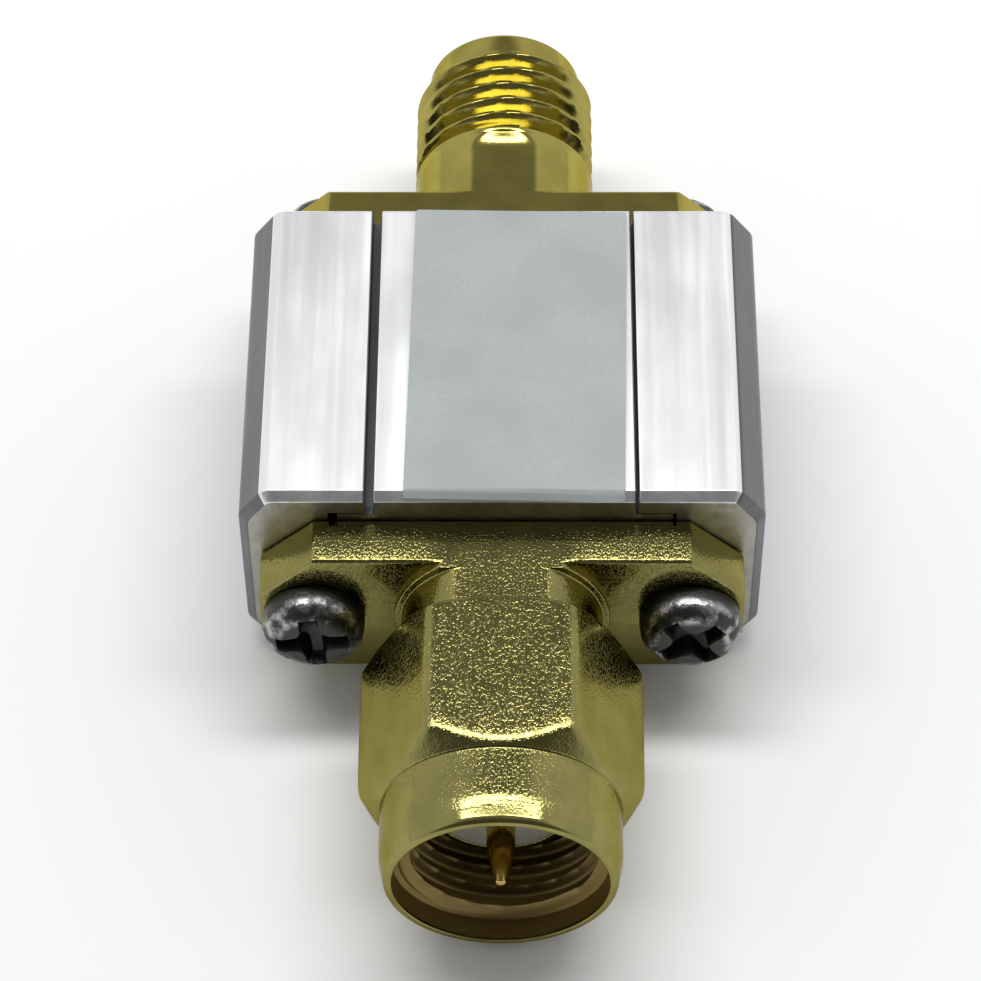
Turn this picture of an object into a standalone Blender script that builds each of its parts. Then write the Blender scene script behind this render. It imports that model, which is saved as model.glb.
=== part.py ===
"""RF bandpass filter: a small aluminium housing with a coaxial plug on one end and a jack on the other.

The housing is two extrusions: a channel, and a cover that slides in under its lips. Each end is
closed by the flange of a gold-plated connector, held by two pan head screws. The plug carries a
coupling nut that turns freely on a snap ring. Inside, a small board carries the filter chip.
Units are metres. The plug points along -Y, the jack along +Y, and +Z is up.
"""

import math

import bmesh
import bpy

# Housing channel
SIDE_MARGIN = 0.00065
BODY_HEIGHT = 0.0081
BODY_LENGTH = 0.0124
CHAMFER_RUN = 0.00075
CHAMFER_DROP = 0.00107
ARRIS_RUN = 0.00027
ARRIS_DROP = 0.00013
END_BREAK = 0.00027
OPENING_WIDTH = 0.0088
LIP_THICKNESS = 0.00085
LIP_REACH = 0.0012
FLOOR_THICKNESS = 0.0014
PORT_WALL = 0.000625

# Cover, its two seams, and the label
WING_THICKNESS = 0.00085
SEAM_TIGHT = 0.0001
SEAM_WIDE = 0.0003
SLIDE_GAP = 0.00004
LABEL_LEFT_MARGIN = 0.00105
LABEL_RIGHT_MARGIN = 0.00025
LABEL_END_MARGIN = 0.00006
LABEL_FOLD = 0.0003
LABEL_THICKNESS = 0.00008
LABEL_TURN = math.radians(-1.0)

# Both connector flanges
HOLE_SPACING = 0.0122
FLANGE_EAR = 0.00175
FLANGE_HEIGHT = 0.0058
FLANGE_THICKNESS = 0.0017
FLANGE_CHAMFER = 0.0018
FLANGE_EDGE = 0.0001
HOLE_CLEARANCE = 0.000275
SEAT_GAP = 0.00003

# Screws
SHANK_DIAMETER = 0.00165
SHANK_LENGTH = 0.0040
SHANK_POINT = 0.0006
SHANK_FIT = 0.00005
HEAD_DIAMETER = 0.0033
HEAD_HEIGHT = 0.00115
HEAD_SIDE = 0.0004
HEAD_FLAT = 0.0019
HEAD_POINTS = 5
RECESS_SPAN = 0.0023
RECESS_ARM = 0.0006
RECESS_DEPTH = 0.0008
RECESS_TURNS = {
    "plug_screw_left": math.radians(6),
    "plug_screw_right": math.radians(38),
    "jack_screw_left": math.radians(24),
    "jack_screw_right": math.radians(71),
}

# Coaxial line that both connectors share: contact, insulator and outer conductor
PIN_DIAMETER = 0.0009
PIN_FIT = 0.000015
CONTACT_WALL = 0.00017
INSULATOR_BORE = 0.0041
THROAT_STEP = 0.00025
THROAT_LENGTH = 0.0011
SLEEVE_WALL = 0.00025
SLEEVE_FIT = 0.000025
FIT_GAP = 0.00002

# Thread that the jack carries outside and the coupling nut inside
THREAD_DIAMETER = 0.00625
THREAD_DEPTH = 0.00043
THREAD_PITCH = 0.0254 / 36
THREAD_FLAT = THREAD_PITCH / 8
THREAD_TURNS = 5
ROOT_FIT = 0.000135
CREST_FIT = 0.000075

# Plug body
BOSS_DIAMETER = 0.0070
BOSS_HEIGHT = 0.0002
NECK_DIAMETER = 0.0065
NECK_LENGTH = 0.0019
COLLET_DIAMETER = 0.0053
COLLET_PROUD = 0.0003
SLEEVE_REACH = 0.00755
PIN_REACH = 0.0026
PIN_CONE = 0.0011
PIN_TIP = 0.0003
PIN_INSET = 0.0006

# Coupling nut and its snap ring
NUT_FLATS = 0.00794
CORNER_TRIM = 0.000084
NUT_HEX_LENGTH = 0.0056
NUT_REAR_CHAMFER = 0.0004
NUT_FRONT_CHAMFER = 0.00062
COLLAR_STEP = 0.00017
COLLAR_LENGTH = 0.0026
COLLAR_BREAK = 0.0003
NUT_MOUTH_WALL = 0.00013
NUT_THREAD_INSET = 0.0006
NUT_THREAD_LENGTH = 0.0032
NUT_REAR_WALL = 0.0012
RUNNING_GAP = 0.0001
RING_WIRE = 0.00046
RING_PLAY = 0.00004
RING_SPLIT = math.radians(36)

# Jack body and its slotted socket
BASE_LENGTH = 0.0024
SHOULDER_RISE = 0.000125
SHOULDER_LENGTH = 0.0004
RELIEF_LENGTH = 0.0004
NOSE_LENGTH = 0.00105
NOSE_BREAK = 0.0002
JACK_RECESS = 0.0019
SOCKET_DEPTH = 0.0026
SLOT_WIDTH = 0.00018
SLOT_LENGTH = 0.0021

# Circuit board and what it carries
BOARD_THICKNESS = 0.0008
BOARD_GROOVE = 0.0004
BOARD_END_GAP = 0.0002
COPPER_THICKNESS = 0.00004
COPPER_SPACE = 0.0003
COPPER_MARGIN = 0.0009
TRACK_WIDTH = 0.0014
CHIP_WIDTH = 0.0030
CHIP_LENGTH = 0.0030
CHIP_HEIGHT = 0.0009
CHIP_LAP = 0.0004
COIL_LENGTH = 0.0010
COIL_WIDTH = 0.0005
COIL_HEIGHT = 0.0005
TAIL_DIAMETER = 0.00076
TAIL_LENGTH = 0.0021
TAIL_BARE = 0.0001
SOLDER_WIDTH = 0.0013
SOLDER_LENGTH = 0.0015
SOLDER_COVER = 0.00022

# Facets, the merge distance, and how far a cutter runs past what it cuts
STEPS = 52
SMALL_STEPS = 24
WIRE_STEPS = 2
SHARP_ANGLE = math.radians(35)
JOINED = 1e-7
OVERRUN = 0.001

# Widths and diameters that follow from these
PORT_DIAMETER = SHANK_DIAMETER + 2 * SHANK_FIT
FLANGE_HOLE = SHANK_DIAMETER + 2 * HOLE_CLEARANCE
FLANGE_WIDTH = HOLE_SPACING + 2 * FLANGE_EAR
BODY_WIDTH = FLANGE_WIDTH + 2 * SIDE_MARGIN
SOCKET_BORE = PIN_DIAMETER + 2 * PIN_FIT
CONTACT_DIAMETER = SOCKET_BORE + 2 * CONTACT_WALL
THROAT_BORE = INSULATOR_BORE - 2 * THROAT_STEP
SLEEVE_DIAMETER = INSULATOR_BORE + 2 * SLEEVE_WALL
JACK_MOUTH = SLEEVE_DIAMETER + 2 * SLEEVE_FIT
THREAD_ROOT = THREAD_DIAMETER - 2 * THREAD_DEPTH
BASE_DIAMETER = THREAD_DIAMETER - 2 * SHOULDER_RISE
NUT_MINOR = THREAD_ROOT + 2 * ROOT_FIT
NUT_BORE = THREAD_DIAMETER + 2 * CREST_FIT
NUT_CORNERS = NUT_FLATS / math.cos(math.pi / 6)
RING_GROOVE = RING_WIRE + 2 * RING_PLAY

# Places along the axis, from the front end of the housing
PLUG_SEAT = -SEAT_GAP
PLUG_FACE = PLUG_SEAT - FLANGE_THICKNESS
NECK_END = PLUG_FACE - NECK_LENGTH
SLEEVE_END = PLUG_FACE - SLEEVE_REACH
NUT_REAR = NECK_END - RUNNING_GAP
NUT_LENGTH = NUT_HEX_LENGTH + COLLAR_LENGTH
NUT_MOUTH = NUT_REAR - NUT_LENGTH
RING_PLACE = NUT_REAR - NUT_REAR_WALL / 2
JACK_SEAT = BODY_LENGTH + SEAT_GAP
JACK_FACE = JACK_SEAT + FLANGE_THICKNESS
BASE_END = JACK_FACE + BASE_LENGTH
THREAD_START = BASE_END + SHOULDER_LENGTH + RELIEF_LENGTH
JACK_END = THREAD_START + THREAD_TURNS * THREAD_PITCH + NOSE_LENGTH
SOCKET_FACE = JACK_END - JACK_RECESS
BODY_MIDDLE = BODY_LENGTH / 2
OVERALL_MIDDLE = (NUT_MOUTH + JACK_END) / 2

# Widths and levels across the housing, from the axis
TOP = BODY_HEIGHT / 2
CAVITY_HALF = (HOLE_SPACING - PORT_DIAMETER) / 2 - PORT_WALL
GROOVE_HALF = OPENING_WIDTH / 2 + LIP_REACH
LIP_UNDERSIDE = TOP - LIP_THICKNESS
GROOVE_FLOOR = LIP_UNDERSIDE - WING_THICKNESS - 2 * SLIDE_GAP
CAVITY_FLOOR = FLOOR_THICKNESS - TOP
COVER_HALF = (OPENING_WIDTH - SEAM_TIGHT - SEAM_WIDE) / 2
COVER_SHIFT = (SEAM_WIDE - SEAM_TIGHT) / 2
SOLDER_LEVEL = -TAIL_DIAMETER / 2
COPPER_TOP = SOLDER_LEVEL - FIT_GAP
BOARD_TOP = COPPER_TOP - COPPER_THICKNESS - FIT_GAP
BOARD_UNDERSIDE = BOARD_TOP - BOARD_THICKNESS

parts = None
cutters = None
axis_frame = None


def clear_scene():
    for obj in list(bpy.data.objects):
        bpy.data.objects.remove(obj, do_unlink=True)


def new_collection(name):
    collection = bpy.data.collections.new(name)
    bpy.context.scene.collection.children.link(collection)
    return collection


def material(name, colour, roughness, metallic):
    made = bpy.data.materials.get(name)
    if made is None:
        made = bpy.data.materials.new(name)
        made.use_nodes = True
        shader = made.node_tree.nodes["Principled BSDF"]
        shader.inputs["Base Color"].default_value = (*colour, 1.0)
        shader.inputs["Roughness"].default_value = roughness
        shader.inputs["Metallic"].default_value = metallic
    return made


def aluminium():
    return material("brushed_aluminium", (0.78, 0.79, 0.80), 0.35, 1.0)


def gold():
    return material("gold_plated_brass", (0.76, 0.58, 0.20), 0.22, 1.0)


def plated_steel():
    return material("plated_steel", (0.22, 0.22, 0.23), 0.35, 1.0)


def spring_bronze():
    return material("spring_bronze", (0.72, 0.50, 0.26), 0.3, 1.0)


def ptfe():
    return material("white_ptfe", (0.88, 0.87, 0.83), 0.5, 0.0)


def label_film():
    return material("label_film", (0.46, 0.49, 0.49), 0.45, 0.0)


def laminate():
    return material("board_laminate", (0.10, 0.30, 0.16), 0.5, 0.0)


def copper():
    return material("plated_copper", (0.80, 0.66, 0.36), 0.3, 1.0)


def ceramic():
    return material("chip_ceramic", (0.82, 0.80, 0.74), 0.4, 0.0)


def ferrite():
    return material("coil_ferrite", (0.20, 0.22, 0.24), 0.4, 0.0)


def solder():
    return material("solder", (0.62, 0.63, 0.64), 0.28, 1.0)


def add(name, mesh, finish=None, place=(0, 0, 0), turn=(0, 0, 0)):
    """Links a mesh into the scene on the axis frame: a part if it has a finish, or else a hidden cutter."""
    obj = bpy.data.objects.new(name, mesh)
    obj.parent = axis_frame
    obj.location = place
    obj.rotation_euler = turn
    if finish is None:
        cutters.objects.link(obj)
        obj.hide_render = True
        obj.display_type = "WIRE"
    else:
        parts.objects.link(obj)
        mesh.materials.append(finish)
    return obj


def boolean(obj, cutter, operation="DIFFERENCE"):
    modifier = obj.modifiers.new(cutter.name, "BOOLEAN")
    modifier.operation = operation
    modifier.solver = "EXACT"
    modifier.object = cutter


def shade_round(obj):
    """Applies a turned piece's modifiers, then shades its curves smooth and keeps its edges sharp."""
    graph = bpy.context.evaluated_depsgraph_get()
    mesh = bpy.data.meshes.new_from_object(obj.evaluated_get(graph))
    mesh.name = obj.name
    mesh.shade_smooth()
    mesh.set_sharp_from_angle(angle=SHARP_ANGLE)
    obj.modifiers.clear()
    obj.data = mesh


def turned(name, profile, finish=None, place=(0, 0, 0), steps=STEPS):
    """A piece turned about Y. Its profile is (radius, y) points, from its +Y end down the outer side."""
    points = [(radius, 0, along) for radius, along in profile]
    edges = [(index, index + 1) for index in range(len(points) - 1)]
    if profile[0][0] > 0:
        edges.append((len(points) - 1, 0))
    mesh = bpy.data.meshes.new(name)
    mesh.from_pydata(points, edges, [])
    obj = add(name, mesh, finish, place, (-math.pi / 2, 0, 0))
    screw = obj.modifiers.new("turn", "SCREW")
    screw.axis = "Z"
    screw.angle = 2 * math.pi
    screw.steps = steps
    screw.render_steps = steps
    screw.use_merge_vertices = True
    screw.merge_threshold = JOINED
    return obj


def extruded(name, outline, length, finish=None, place=(0, 0, 0), turn=0.0):
    """An outline in X and Z pushed out along Y, the middle of its length at its place, turned about Z."""
    curve = bpy.data.curves.new(name + "_outline", "CURVE")
    curve.dimensions = "2D"
    curve.fill_mode = "BOTH"
    curve.extrude = length / 2
    spline = curve.splines.new("POLY")
    spline.points.add(len(outline) - 1)
    for point, (x, z) in zip(spline.points, outline):
        point.co = (x, z, 0, 1)
    spline.use_cyclic_u = True
    drawn = bpy.data.objects.new(name + "_outline", curve)
    cutters.objects.link(drawn)
    graph = bpy.context.evaluated_depsgraph_get()
    mesh = bpy.data.meshes.new_from_object(drawn.evaluated_get(graph))
    bpy.data.objects.remove(drawn, do_unlink=True)
    mesh.name = name
    mesh.materials.clear()
    shape = bmesh.new()
    shape.from_mesh(mesh)
    bmesh.ops.remove_doubles(shape, verts=shape.verts, dist=JOINED)
    bmesh.ops.dissolve_limit(shape, angle_limit=math.radians(1), verts=shape.verts, edges=shape.edges)
    bmesh.ops.recalc_face_normals(shape, faces=shape.faces)
    shape.to_mesh(mesh)
    shape.free()
    return add(name, mesh, finish, place, (math.pi / 2, 0, turn))


def mirrored(half):
    """Completes an outline: the right half as given, then the left half back to the start."""
    return half + [(-x, z) for x, z in reversed(half)]


def block(name, size, finish=None, place=(0, 0, 0), turn=0.0):
    """A box with its middle at its place, turned about Z."""
    mesh = bpy.data.meshes.new(name)
    shape = bmesh.new()
    bmesh.ops.create_cube(shape, size=1)
    bmesh.ops.scale(shape, vec=size, verts=shape.verts)
    shape.to_mesh(mesh)
    shape.free()
    return add(name, mesh, finish, place, (0, 0, turn))


def bar(name, diameter, length, place, sides=SMALL_STEPS):
    """A straight cutter along Y with its middle at its place: round, or a hexagon with a flat on top."""
    mesh = bpy.data.meshes.new(name)
    shape = bmesh.new()
    bmesh.ops.create_cone(
        shape,
        cap_ends=True,
        segments=sides,
        radius1=diameter / 2,
        radius2=diameter / 2,
        depth=length,
    )
    shape.to_mesh(mesh)
    shape.free()
    return add(name, mesh, None, place, (math.pi / 2, math.pi / sides, 0))


def break_edges(obj, width, chosen):
    """Chamfers those edges of an extrusion for whose two ends, as (x, z, along), the test holds."""
    weights = obj.data.attributes.new("bevel_weight_edge", "FLOAT", "EDGE")
    for edge in obj.data.edges:
        start, end = (obj.data.vertices[index].co for index in edge.vertices)
        if chosen(start, end):
            weights.data[edge.index].value = 1.0
    bevel = obj.modifiers.new("edge_break", "BEVEL")
    bevel.limit_method = "WEIGHT"
    bevel.width = width
    bevel.segments = 1


def on_one_end(start, end):
    """Says whether an extrusion's edge lies in one of its two end faces."""
    return abs(start.z - end.z) < JOINED


def build_channel():
    """The extruded body: a floor, two walls with screw ports and board grooves, and lips over the cover."""
    half = BODY_WIDTH / 2
    outside = [
        (half - CHAMFER_RUN - ARRIS_RUN, TOP),
        (half - CHAMFER_RUN, TOP - ARRIS_DROP),
        (half, TOP - CHAMFER_DROP - ARRIS_DROP),
        (half, -TOP + CHAMFER_DROP + ARRIS_DROP),
        (half - CHAMFER_RUN, -TOP + ARRIS_DROP),
        (half - CHAMFER_RUN - ARRIS_RUN, -TOP),
    ]
    inside = [
        (CAVITY_HALF, CAVITY_FLOOR),
        (CAVITY_HALF, BOARD_UNDERSIDE - SLIDE_GAP),
        (CAVITY_HALF + BOARD_GROOVE, BOARD_UNDERSIDE - SLIDE_GAP),
        (CAVITY_HALF + BOARD_GROOVE, BOARD_TOP + SLIDE_GAP),
        (CAVITY_HALF, BOARD_TOP + SLIDE_GAP),
        (CAVITY_HALF, GROOVE_FLOOR),
        (GROOVE_HALF, GROOVE_FLOOR),
        (GROOVE_HALF, LIP_UNDERSIDE),
        (OPENING_WIDTH / 2, LIP_UNDERSIDE),
        (OPENING_WIDTH / 2, TOP),
    ]
    place = (0, BODY_MIDDLE, 0)
    obj = extruded("housing_channel", mirrored(inside + outside), BODY_LENGTH, aluminium(), place)

    def outer_end(start, end):
        beside = min(abs(start.x), abs(end.x)) > GROOVE_HALF + JOINED
        above_or_below = min(abs(start.y), abs(end.y)) > TOP - JOINED
        return on_one_end(start, end) and (beside or above_or_below)

    break_edges(obj, END_BREAK, outer_end)
    for name, side in (("port_left", -1), ("port_right", 1)):
        port_place = (side * HOLE_SPACING / 2, BODY_MIDDLE, 0)
        boolean(obj, bar(name, PORT_DIAMETER, BODY_LENGTH + OVERRUN, port_place))


def build_cover():
    """The extruded cover: a plate between the lips, with a wing on each side that runs under them."""
    wing = COVER_HALF + LIP_REACH
    wing_top = LIP_UNDERSIDE - SLIDE_GAP
    half = [
        (wing, GROOVE_FLOOR + SLIDE_GAP),
        (wing, wing_top),
        (COVER_HALF, wing_top),
        (COVER_HALF, TOP),
    ]
    place = (COVER_SHIFT, BODY_MIDDLE, 0)
    obj = extruded("housing_cover", mirrored(half), BODY_LENGTH, aluminium(), place)

    def top_end(start, end):
        return on_one_end(start, end) and min(start.y, end.y) > TOP - JOINED

    break_edges(obj, END_BREAK, top_end)


def build_label():
    """The self-adhesive film: a sheet bent down over the cover's front edge, cut to an outline set askew."""
    width = 2 * COVER_HALF - LABEL_LEFT_MARGIN - LABEL_RIGHT_MARGIN
    across = COVER_SHIFT + (LABEL_LEFT_MARGIN - LABEL_RIGHT_MARGIN) / 2
    back = BODY_LENGTH - END_BREAK - LABEL_END_MARGIN
    diagonal = math.sqrt(0.5)
    reach = LABEL_FOLD * diagonal
    sheet = []
    for side, off in (("lower", FIT_GAP), ("upper", FIT_GAP + LABEL_THICKNESS)):
        path = [
            (BODY_LENGTH, TOP + off),
            (END_BREAK - off * math.tan(math.pi / 8), TOP + off),
            (END_BREAK - reach - off * diagonal, TOP - reach + off * diagonal),
        ]
        sheet += path if side == "lower" else reversed(path)
    obj = extruded("label", sheet, width + OVERRUN, label_film(), (across, 0, 0), math.pi / 2)
    front = END_BREAK - LABEL_FOLD
    place = (across, (front + back) / 2, TOP)
    boolean(obj, block("label_outline", (width, back - front, OVERRUN), None, place, LABEL_TURN), "INTERSECT")


def build_connector_body(name, seat, away, barrel, flats_end):
    """A connector's one-piece body: the flange, and the turned barrel on it, milled level with the flange.

    away is the direction in Y from the flange's seat to its face. The flats run from the seat to flats_end.
    """
    half_width = FLANGE_WIDTH / 2
    half_height = FLANGE_HEIGHT / 2
    outline = mirrored(
        [
            (half_width - FLANGE_CHAMFER, half_height),
            (half_width, half_height - FLANGE_CHAMFER),
            (half_width, FLANGE_CHAMFER - half_height),
            (half_width - FLANGE_CHAMFER, -half_height),
        ]
    )
    middle = seat + away * FLANGE_THICKNESS / 2
    obj = extruded(name + "_flange", outline, FLANGE_THICKNESS, gold(), (0, middle, 0))
    break_edges(obj, FLANGE_EDGE, on_one_end)
    boolean(obj, turned(name + "_barrel", barrel), "UNION")
    for side_name, side in (("left", -1), ("right", 1)):
        place = (side * HOLE_SPACING / 2, middle, 0)
        boolean(obj, bar(name + "_hole_" + side_name, FLANGE_HOLE, FLANGE_THICKNESS + OVERRUN, place))
    for side_name, side in (("above", 1), ("below", -1)):
        size = (BOSS_DIAMETER + OVERRUN, abs(flats_end - seat), OVERRUN)
        place = (0, (seat + flats_end) / 2, side * (half_height + OVERRUN / 2))
        boolean(obj, block(name + "_flat_" + side_name, size, None, place))
    return obj


def build_plug_body():
    """The plug's flange, boss, neck, collet with the ring's groove, and the sleeve round its insulator."""
    start = PLUG_SEAT - FLANGE_THICKNESS / 2
    collet_end = NUT_REAR - NUT_REAR_WALL - COLLET_PROUD
    groove_floor = COLLET_DIAMETER / 2 - RING_GROOVE / 2
    barrel = [
        (0, start),
        (BOSS_DIAMETER / 2, start),
        (BOSS_DIAMETER / 2, PLUG_FACE - BOSS_HEIGHT),
        (NECK_DIAMETER / 2, PLUG_FACE - BOSS_HEIGHT),
        (NECK_DIAMETER / 2, NECK_END),
        (COLLET_DIAMETER / 2, NECK_END),
        (COLLET_DIAMETER / 2, RING_PLACE + RING_GROOVE / 2),
        (groove_floor, RING_PLACE + RING_GROOVE / 2),
        (groove_floor, RING_PLACE - RING_GROOVE / 2),
        (COLLET_DIAMETER / 2, RING_PLACE - RING_GROOVE / 2),
        (COLLET_DIAMETER / 2, collet_end),
        (SLEEVE_DIAMETER / 2, collet_end),
        (SLEEVE_DIAMETER / 2, SLEEVE_END),
        (0, SLEEVE_END),
    ]
    obj = build_connector_body("plug", PLUG_SEAT, -1, barrel, NECK_END - RUNNING_GAP / 2)
    throat_end = PLUG_SEAT - THROAT_LENGTH
    bore = [
        (0, PLUG_SEAT + OVERRUN),
        (THROAT_BORE / 2, PLUG_SEAT + OVERRUN),
        (THROAT_BORE / 2, throat_end),
        (INSULATOR_BORE / 2, throat_end),
        (INSULATOR_BORE / 2, SLEEVE_END - OVERRUN),
        (0, SLEEVE_END - OVERRUN),
    ]
    boolean(obj, turned("plug_bore", bore))
    shade_round(obj)


def build_coupling_nut():
    """The nut that turns on the plug: a turned blank, a milled hexagon, and the ring's other groove."""
    corner = NUT_CORNERS / 2 - CORNER_TRIM
    flat = NUT_FLATS / 2
    collar = flat - COLLAR_STEP
    rear_bore = COLLET_DIAMETER / 2 + RUNNING_GAP
    groove_floor = COLLET_DIAMETER / 2 + RING_GROOVE / 2
    ring = RING_PLACE - NUT_REAR
    hex_end = -NUT_HEX_LENGTH
    mouth = -NUT_LENGTH
    thread_start = mouth + NUT_THREAD_INSET
    thread_end = thread_start + NUT_THREAD_LENGTH
    lead = (NUT_BORE - NUT_MINOR) / 2
    mouth_bore = collar - COLLAR_BREAK - NUT_MOUTH_WALL
    profile = [
        (flat, 0),
        (corner, -NUT_REAR_CHAMFER),
        (corner, hex_end + NUT_FRONT_CHAMFER),
        (flat, hex_end),
        (collar, hex_end),
        (collar, mouth + COLLAR_BREAK),
        (collar - COLLAR_BREAK, mouth),
        (mouth_bore, mouth),
        (mouth_bore, thread_start),
        (NUT_MINOR / 2, thread_start + mouth_bore - NUT_MINOR / 2),
        (NUT_MINOR / 2, thread_end - lead),
        (NUT_BORE / 2, thread_end),
        (NUT_BORE / 2, -NUT_REAR_WALL),
        (rear_bore, -NUT_REAR_WALL),
        (rear_bore, ring - RING_GROOVE / 2),
        (groove_floor, ring - RING_GROOVE / 2),
        (groove_floor, ring + RING_GROOVE / 2),
        (rear_bore, ring + RING_GROOVE / 2),
        (rear_bore, 0),
    ]
    obj = turned("coupling_nut", profile, gold(), (0, NUT_REAR, 0))
    place = (0, NUT_REAR - NUT_LENGTH / 2, 0)
    boolean(obj, bar("hexagon_stock", NUT_CORNERS, NUT_LENGTH + OVERRUN, place, 6), "INTERSECT")
    shade_round(obj)


def build_snap_ring():
    """The split wire ring that holds the nut on: half of it in the collet's groove, half in the nut's."""
    curve = bpy.data.curves.new("nut_snap_ring", "CURVE")
    curve.dimensions = "3D"
    curve.bevel_depth = RING_WIRE / 2
    curve.bevel_resolution = WIRE_STEPS
    curve.use_fill_caps = True
    spline = curve.splines.new("POLY")
    spline.points.add(SMALL_STEPS)
    sweep = 2 * math.pi - RING_SPLIT
    for index, point in enumerate(spline.points):
        angle = (math.pi + RING_SPLIT) / 2 + sweep * index / SMALL_STEPS
        radius = COLLET_DIAMETER / 2
        point.co = (radius * math.cos(angle), 0, radius * math.sin(angle), 1)
    add("nut_snap_ring", curve, spring_bronze(), (0, RING_PLACE, 0))


def thread_ridges():
    """The jack's thread as (radius, y) points: a ridge for each turn, with a flat crest and a flat root."""
    points = []
    for turn in range(THREAD_TURNS):
        start = THREAD_START + turn * THREAD_PITCH
        crest = start + THREAD_PITCH / 2
        points.append((THREAD_ROOT / 2, start + THREAD_FLAT / 2))
        points.append((THREAD_DIAMETER / 2, crest - THREAD_FLAT / 2))
        points.append((THREAD_DIAMETER / 2, crest + THREAD_FLAT / 2))
        points.append((THREAD_ROOT / 2, start + THREAD_PITCH - THREAD_FLAT / 2))
    return points


def build_jack_body():
    """The jack's flange and barrel: base, shoulder, relief, thread and nose, bored for its insulator."""
    start = JACK_SEAT + FLANGE_THICKNESS / 2
    outer = [
        (0, start),
        (BASE_DIAMETER / 2, start),
        (BASE_DIAMETER / 2, BASE_END),
        (THREAD_DIAMETER / 2, BASE_END + SHOULDER_RISE),
        (THREAD_DIAMETER / 2, BASE_END + SHOULDER_LENGTH),
        (THREAD_ROOT / 2, BASE_END + SHOULDER_LENGTH),
        (THREAD_ROOT / 2, THREAD_START),
    ]
    outer += thread_ridges()
    outer += [
        (THREAD_ROOT / 2, JACK_END - NOSE_BREAK),
        (THREAD_ROOT / 2 - NOSE_BREAK, JACK_END),
        (0, JACK_END),
    ]
    obj = build_connector_body("jack", JACK_SEAT, 1, list(reversed(outer)), JACK_FACE)
    throat_end = JACK_SEAT + THROAT_LENGTH
    bore = [
        (0, JACK_END + OVERRUN),
        (JACK_MOUTH / 2, JACK_END + OVERRUN),
        (JACK_MOUTH / 2, SOCKET_FACE),
        (INSULATOR_BORE / 2, SOCKET_FACE),
        (INSULATOR_BORE / 2, throat_end),
        (THROAT_BORE / 2, throat_end),
        (THROAT_BORE / 2, JACK_SEAT - OVERRUN),
        (0, JACK_SEAT - OVERRUN),
    ]
    boolean(obj, turned("jack_bore", bore))
    shade_round(obj)


def insulator_profile(tip, seat, away):
    """A bush from its tip to its seat, stepped at the throat. away is the direction in Y from seat to tip."""
    outer = INSULATOR_BORE / 2 - FIT_GAP
    neck = THROAT_BORE / 2 - FIT_GAP
    hole = CONTACT_DIAMETER / 2 + FIT_GAP
    step = seat + away * (THROAT_LENGTH + FIT_GAP)
    points = [(hole, tip), (outer, tip), (outer, step), (neck, step), (neck, seat), (hole, seat)]
    return points if away > 0 else list(reversed(points))


def build_insulators():
    plug = turned("plug_insulator", insulator_profile(SLEEVE_END, PLUG_SEAT, -1), ptfe(), steps=SMALL_STEPS)
    jack = turned("jack_insulator", insulator_profile(SOCKET_FACE, JACK_SEAT, 1), ptfe(), steps=SMALL_STEPS)
    shade_round(plug)
    shade_round(jack)


def build_plug_pin():
    """The plug's centre contact: a tail on the board, a body in the insulator, and a pin with a coned tip."""
    tip = SLEEVE_END - PIN_REACH
    profile = [
        (0, TAIL_LENGTH),
        (TAIL_DIAMETER / 2, TAIL_LENGTH),
        (TAIL_DIAMETER / 2, PLUG_SEAT),
        (CONTACT_DIAMETER / 2, PLUG_SEAT),
        (CONTACT_DIAMETER / 2, SLEEVE_END + PIN_INSET),
        (PIN_DIAMETER / 2, SLEEVE_END + PIN_INSET),
        (PIN_DIAMETER / 2, tip + PIN_CONE),
        (PIN_TIP / 2, tip),
        (0, tip),
    ]
    shade_round(turned("plug_centre_pin", profile, gold(), steps=SMALL_STEPS))


def build_jack_socket():
    """The jack's centre contact: a tail on the board, and a bored socket slotted into four spring fingers."""
    profile = [
        (0, SOCKET_FACE - SOCKET_DEPTH),
        (SOCKET_BORE / 2, SOCKET_FACE - SOCKET_DEPTH),
        (SOCKET_BORE / 2, SOCKET_FACE),
        (CONTACT_DIAMETER / 2, SOCKET_FACE),
        (CONTACT_DIAMETER / 2, JACK_SEAT),
        (TAIL_DIAMETER / 2, JACK_SEAT),
        (TAIL_DIAMETER / 2, BODY_LENGTH - TAIL_LENGTH),
        (0, BODY_LENGTH - TAIL_LENGTH),
    ]
    obj = turned("jack_centre_contact", profile, gold(), steps=SMALL_STEPS)
    across = CONTACT_DIAMETER + OVERRUN
    upright = block("slot_upright", (SLOT_WIDTH, 2 * SLOT_LENGTH, across), None, (0, SOCKET_FACE, 0))
    level = block("slot_level", (across, 2 * SLOT_LENGTH, SLOT_WIDTH), None, (0, SOCKET_FACE, 0))
    boolean(obj, upright)
    boolean(obj, level)
    shade_round(obj)


def head_curve():
    """The shoulder of a pan head as (radius, height): a quarter ellipse from its flat top to its side."""
    flat = HEAD_FLAT / 2
    width = HEAD_DIAMETER / 2 - flat
    rise = HEAD_HEIGHT - HEAD_SIDE
    angles = [math.pi / 2 * index / (HEAD_POINTS - 1) for index in range(HEAD_POINTS)]
    return [(flat + width * math.sin(angle), HEAD_SIDE + rise * math.cos(angle)) for angle in angles]


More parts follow.
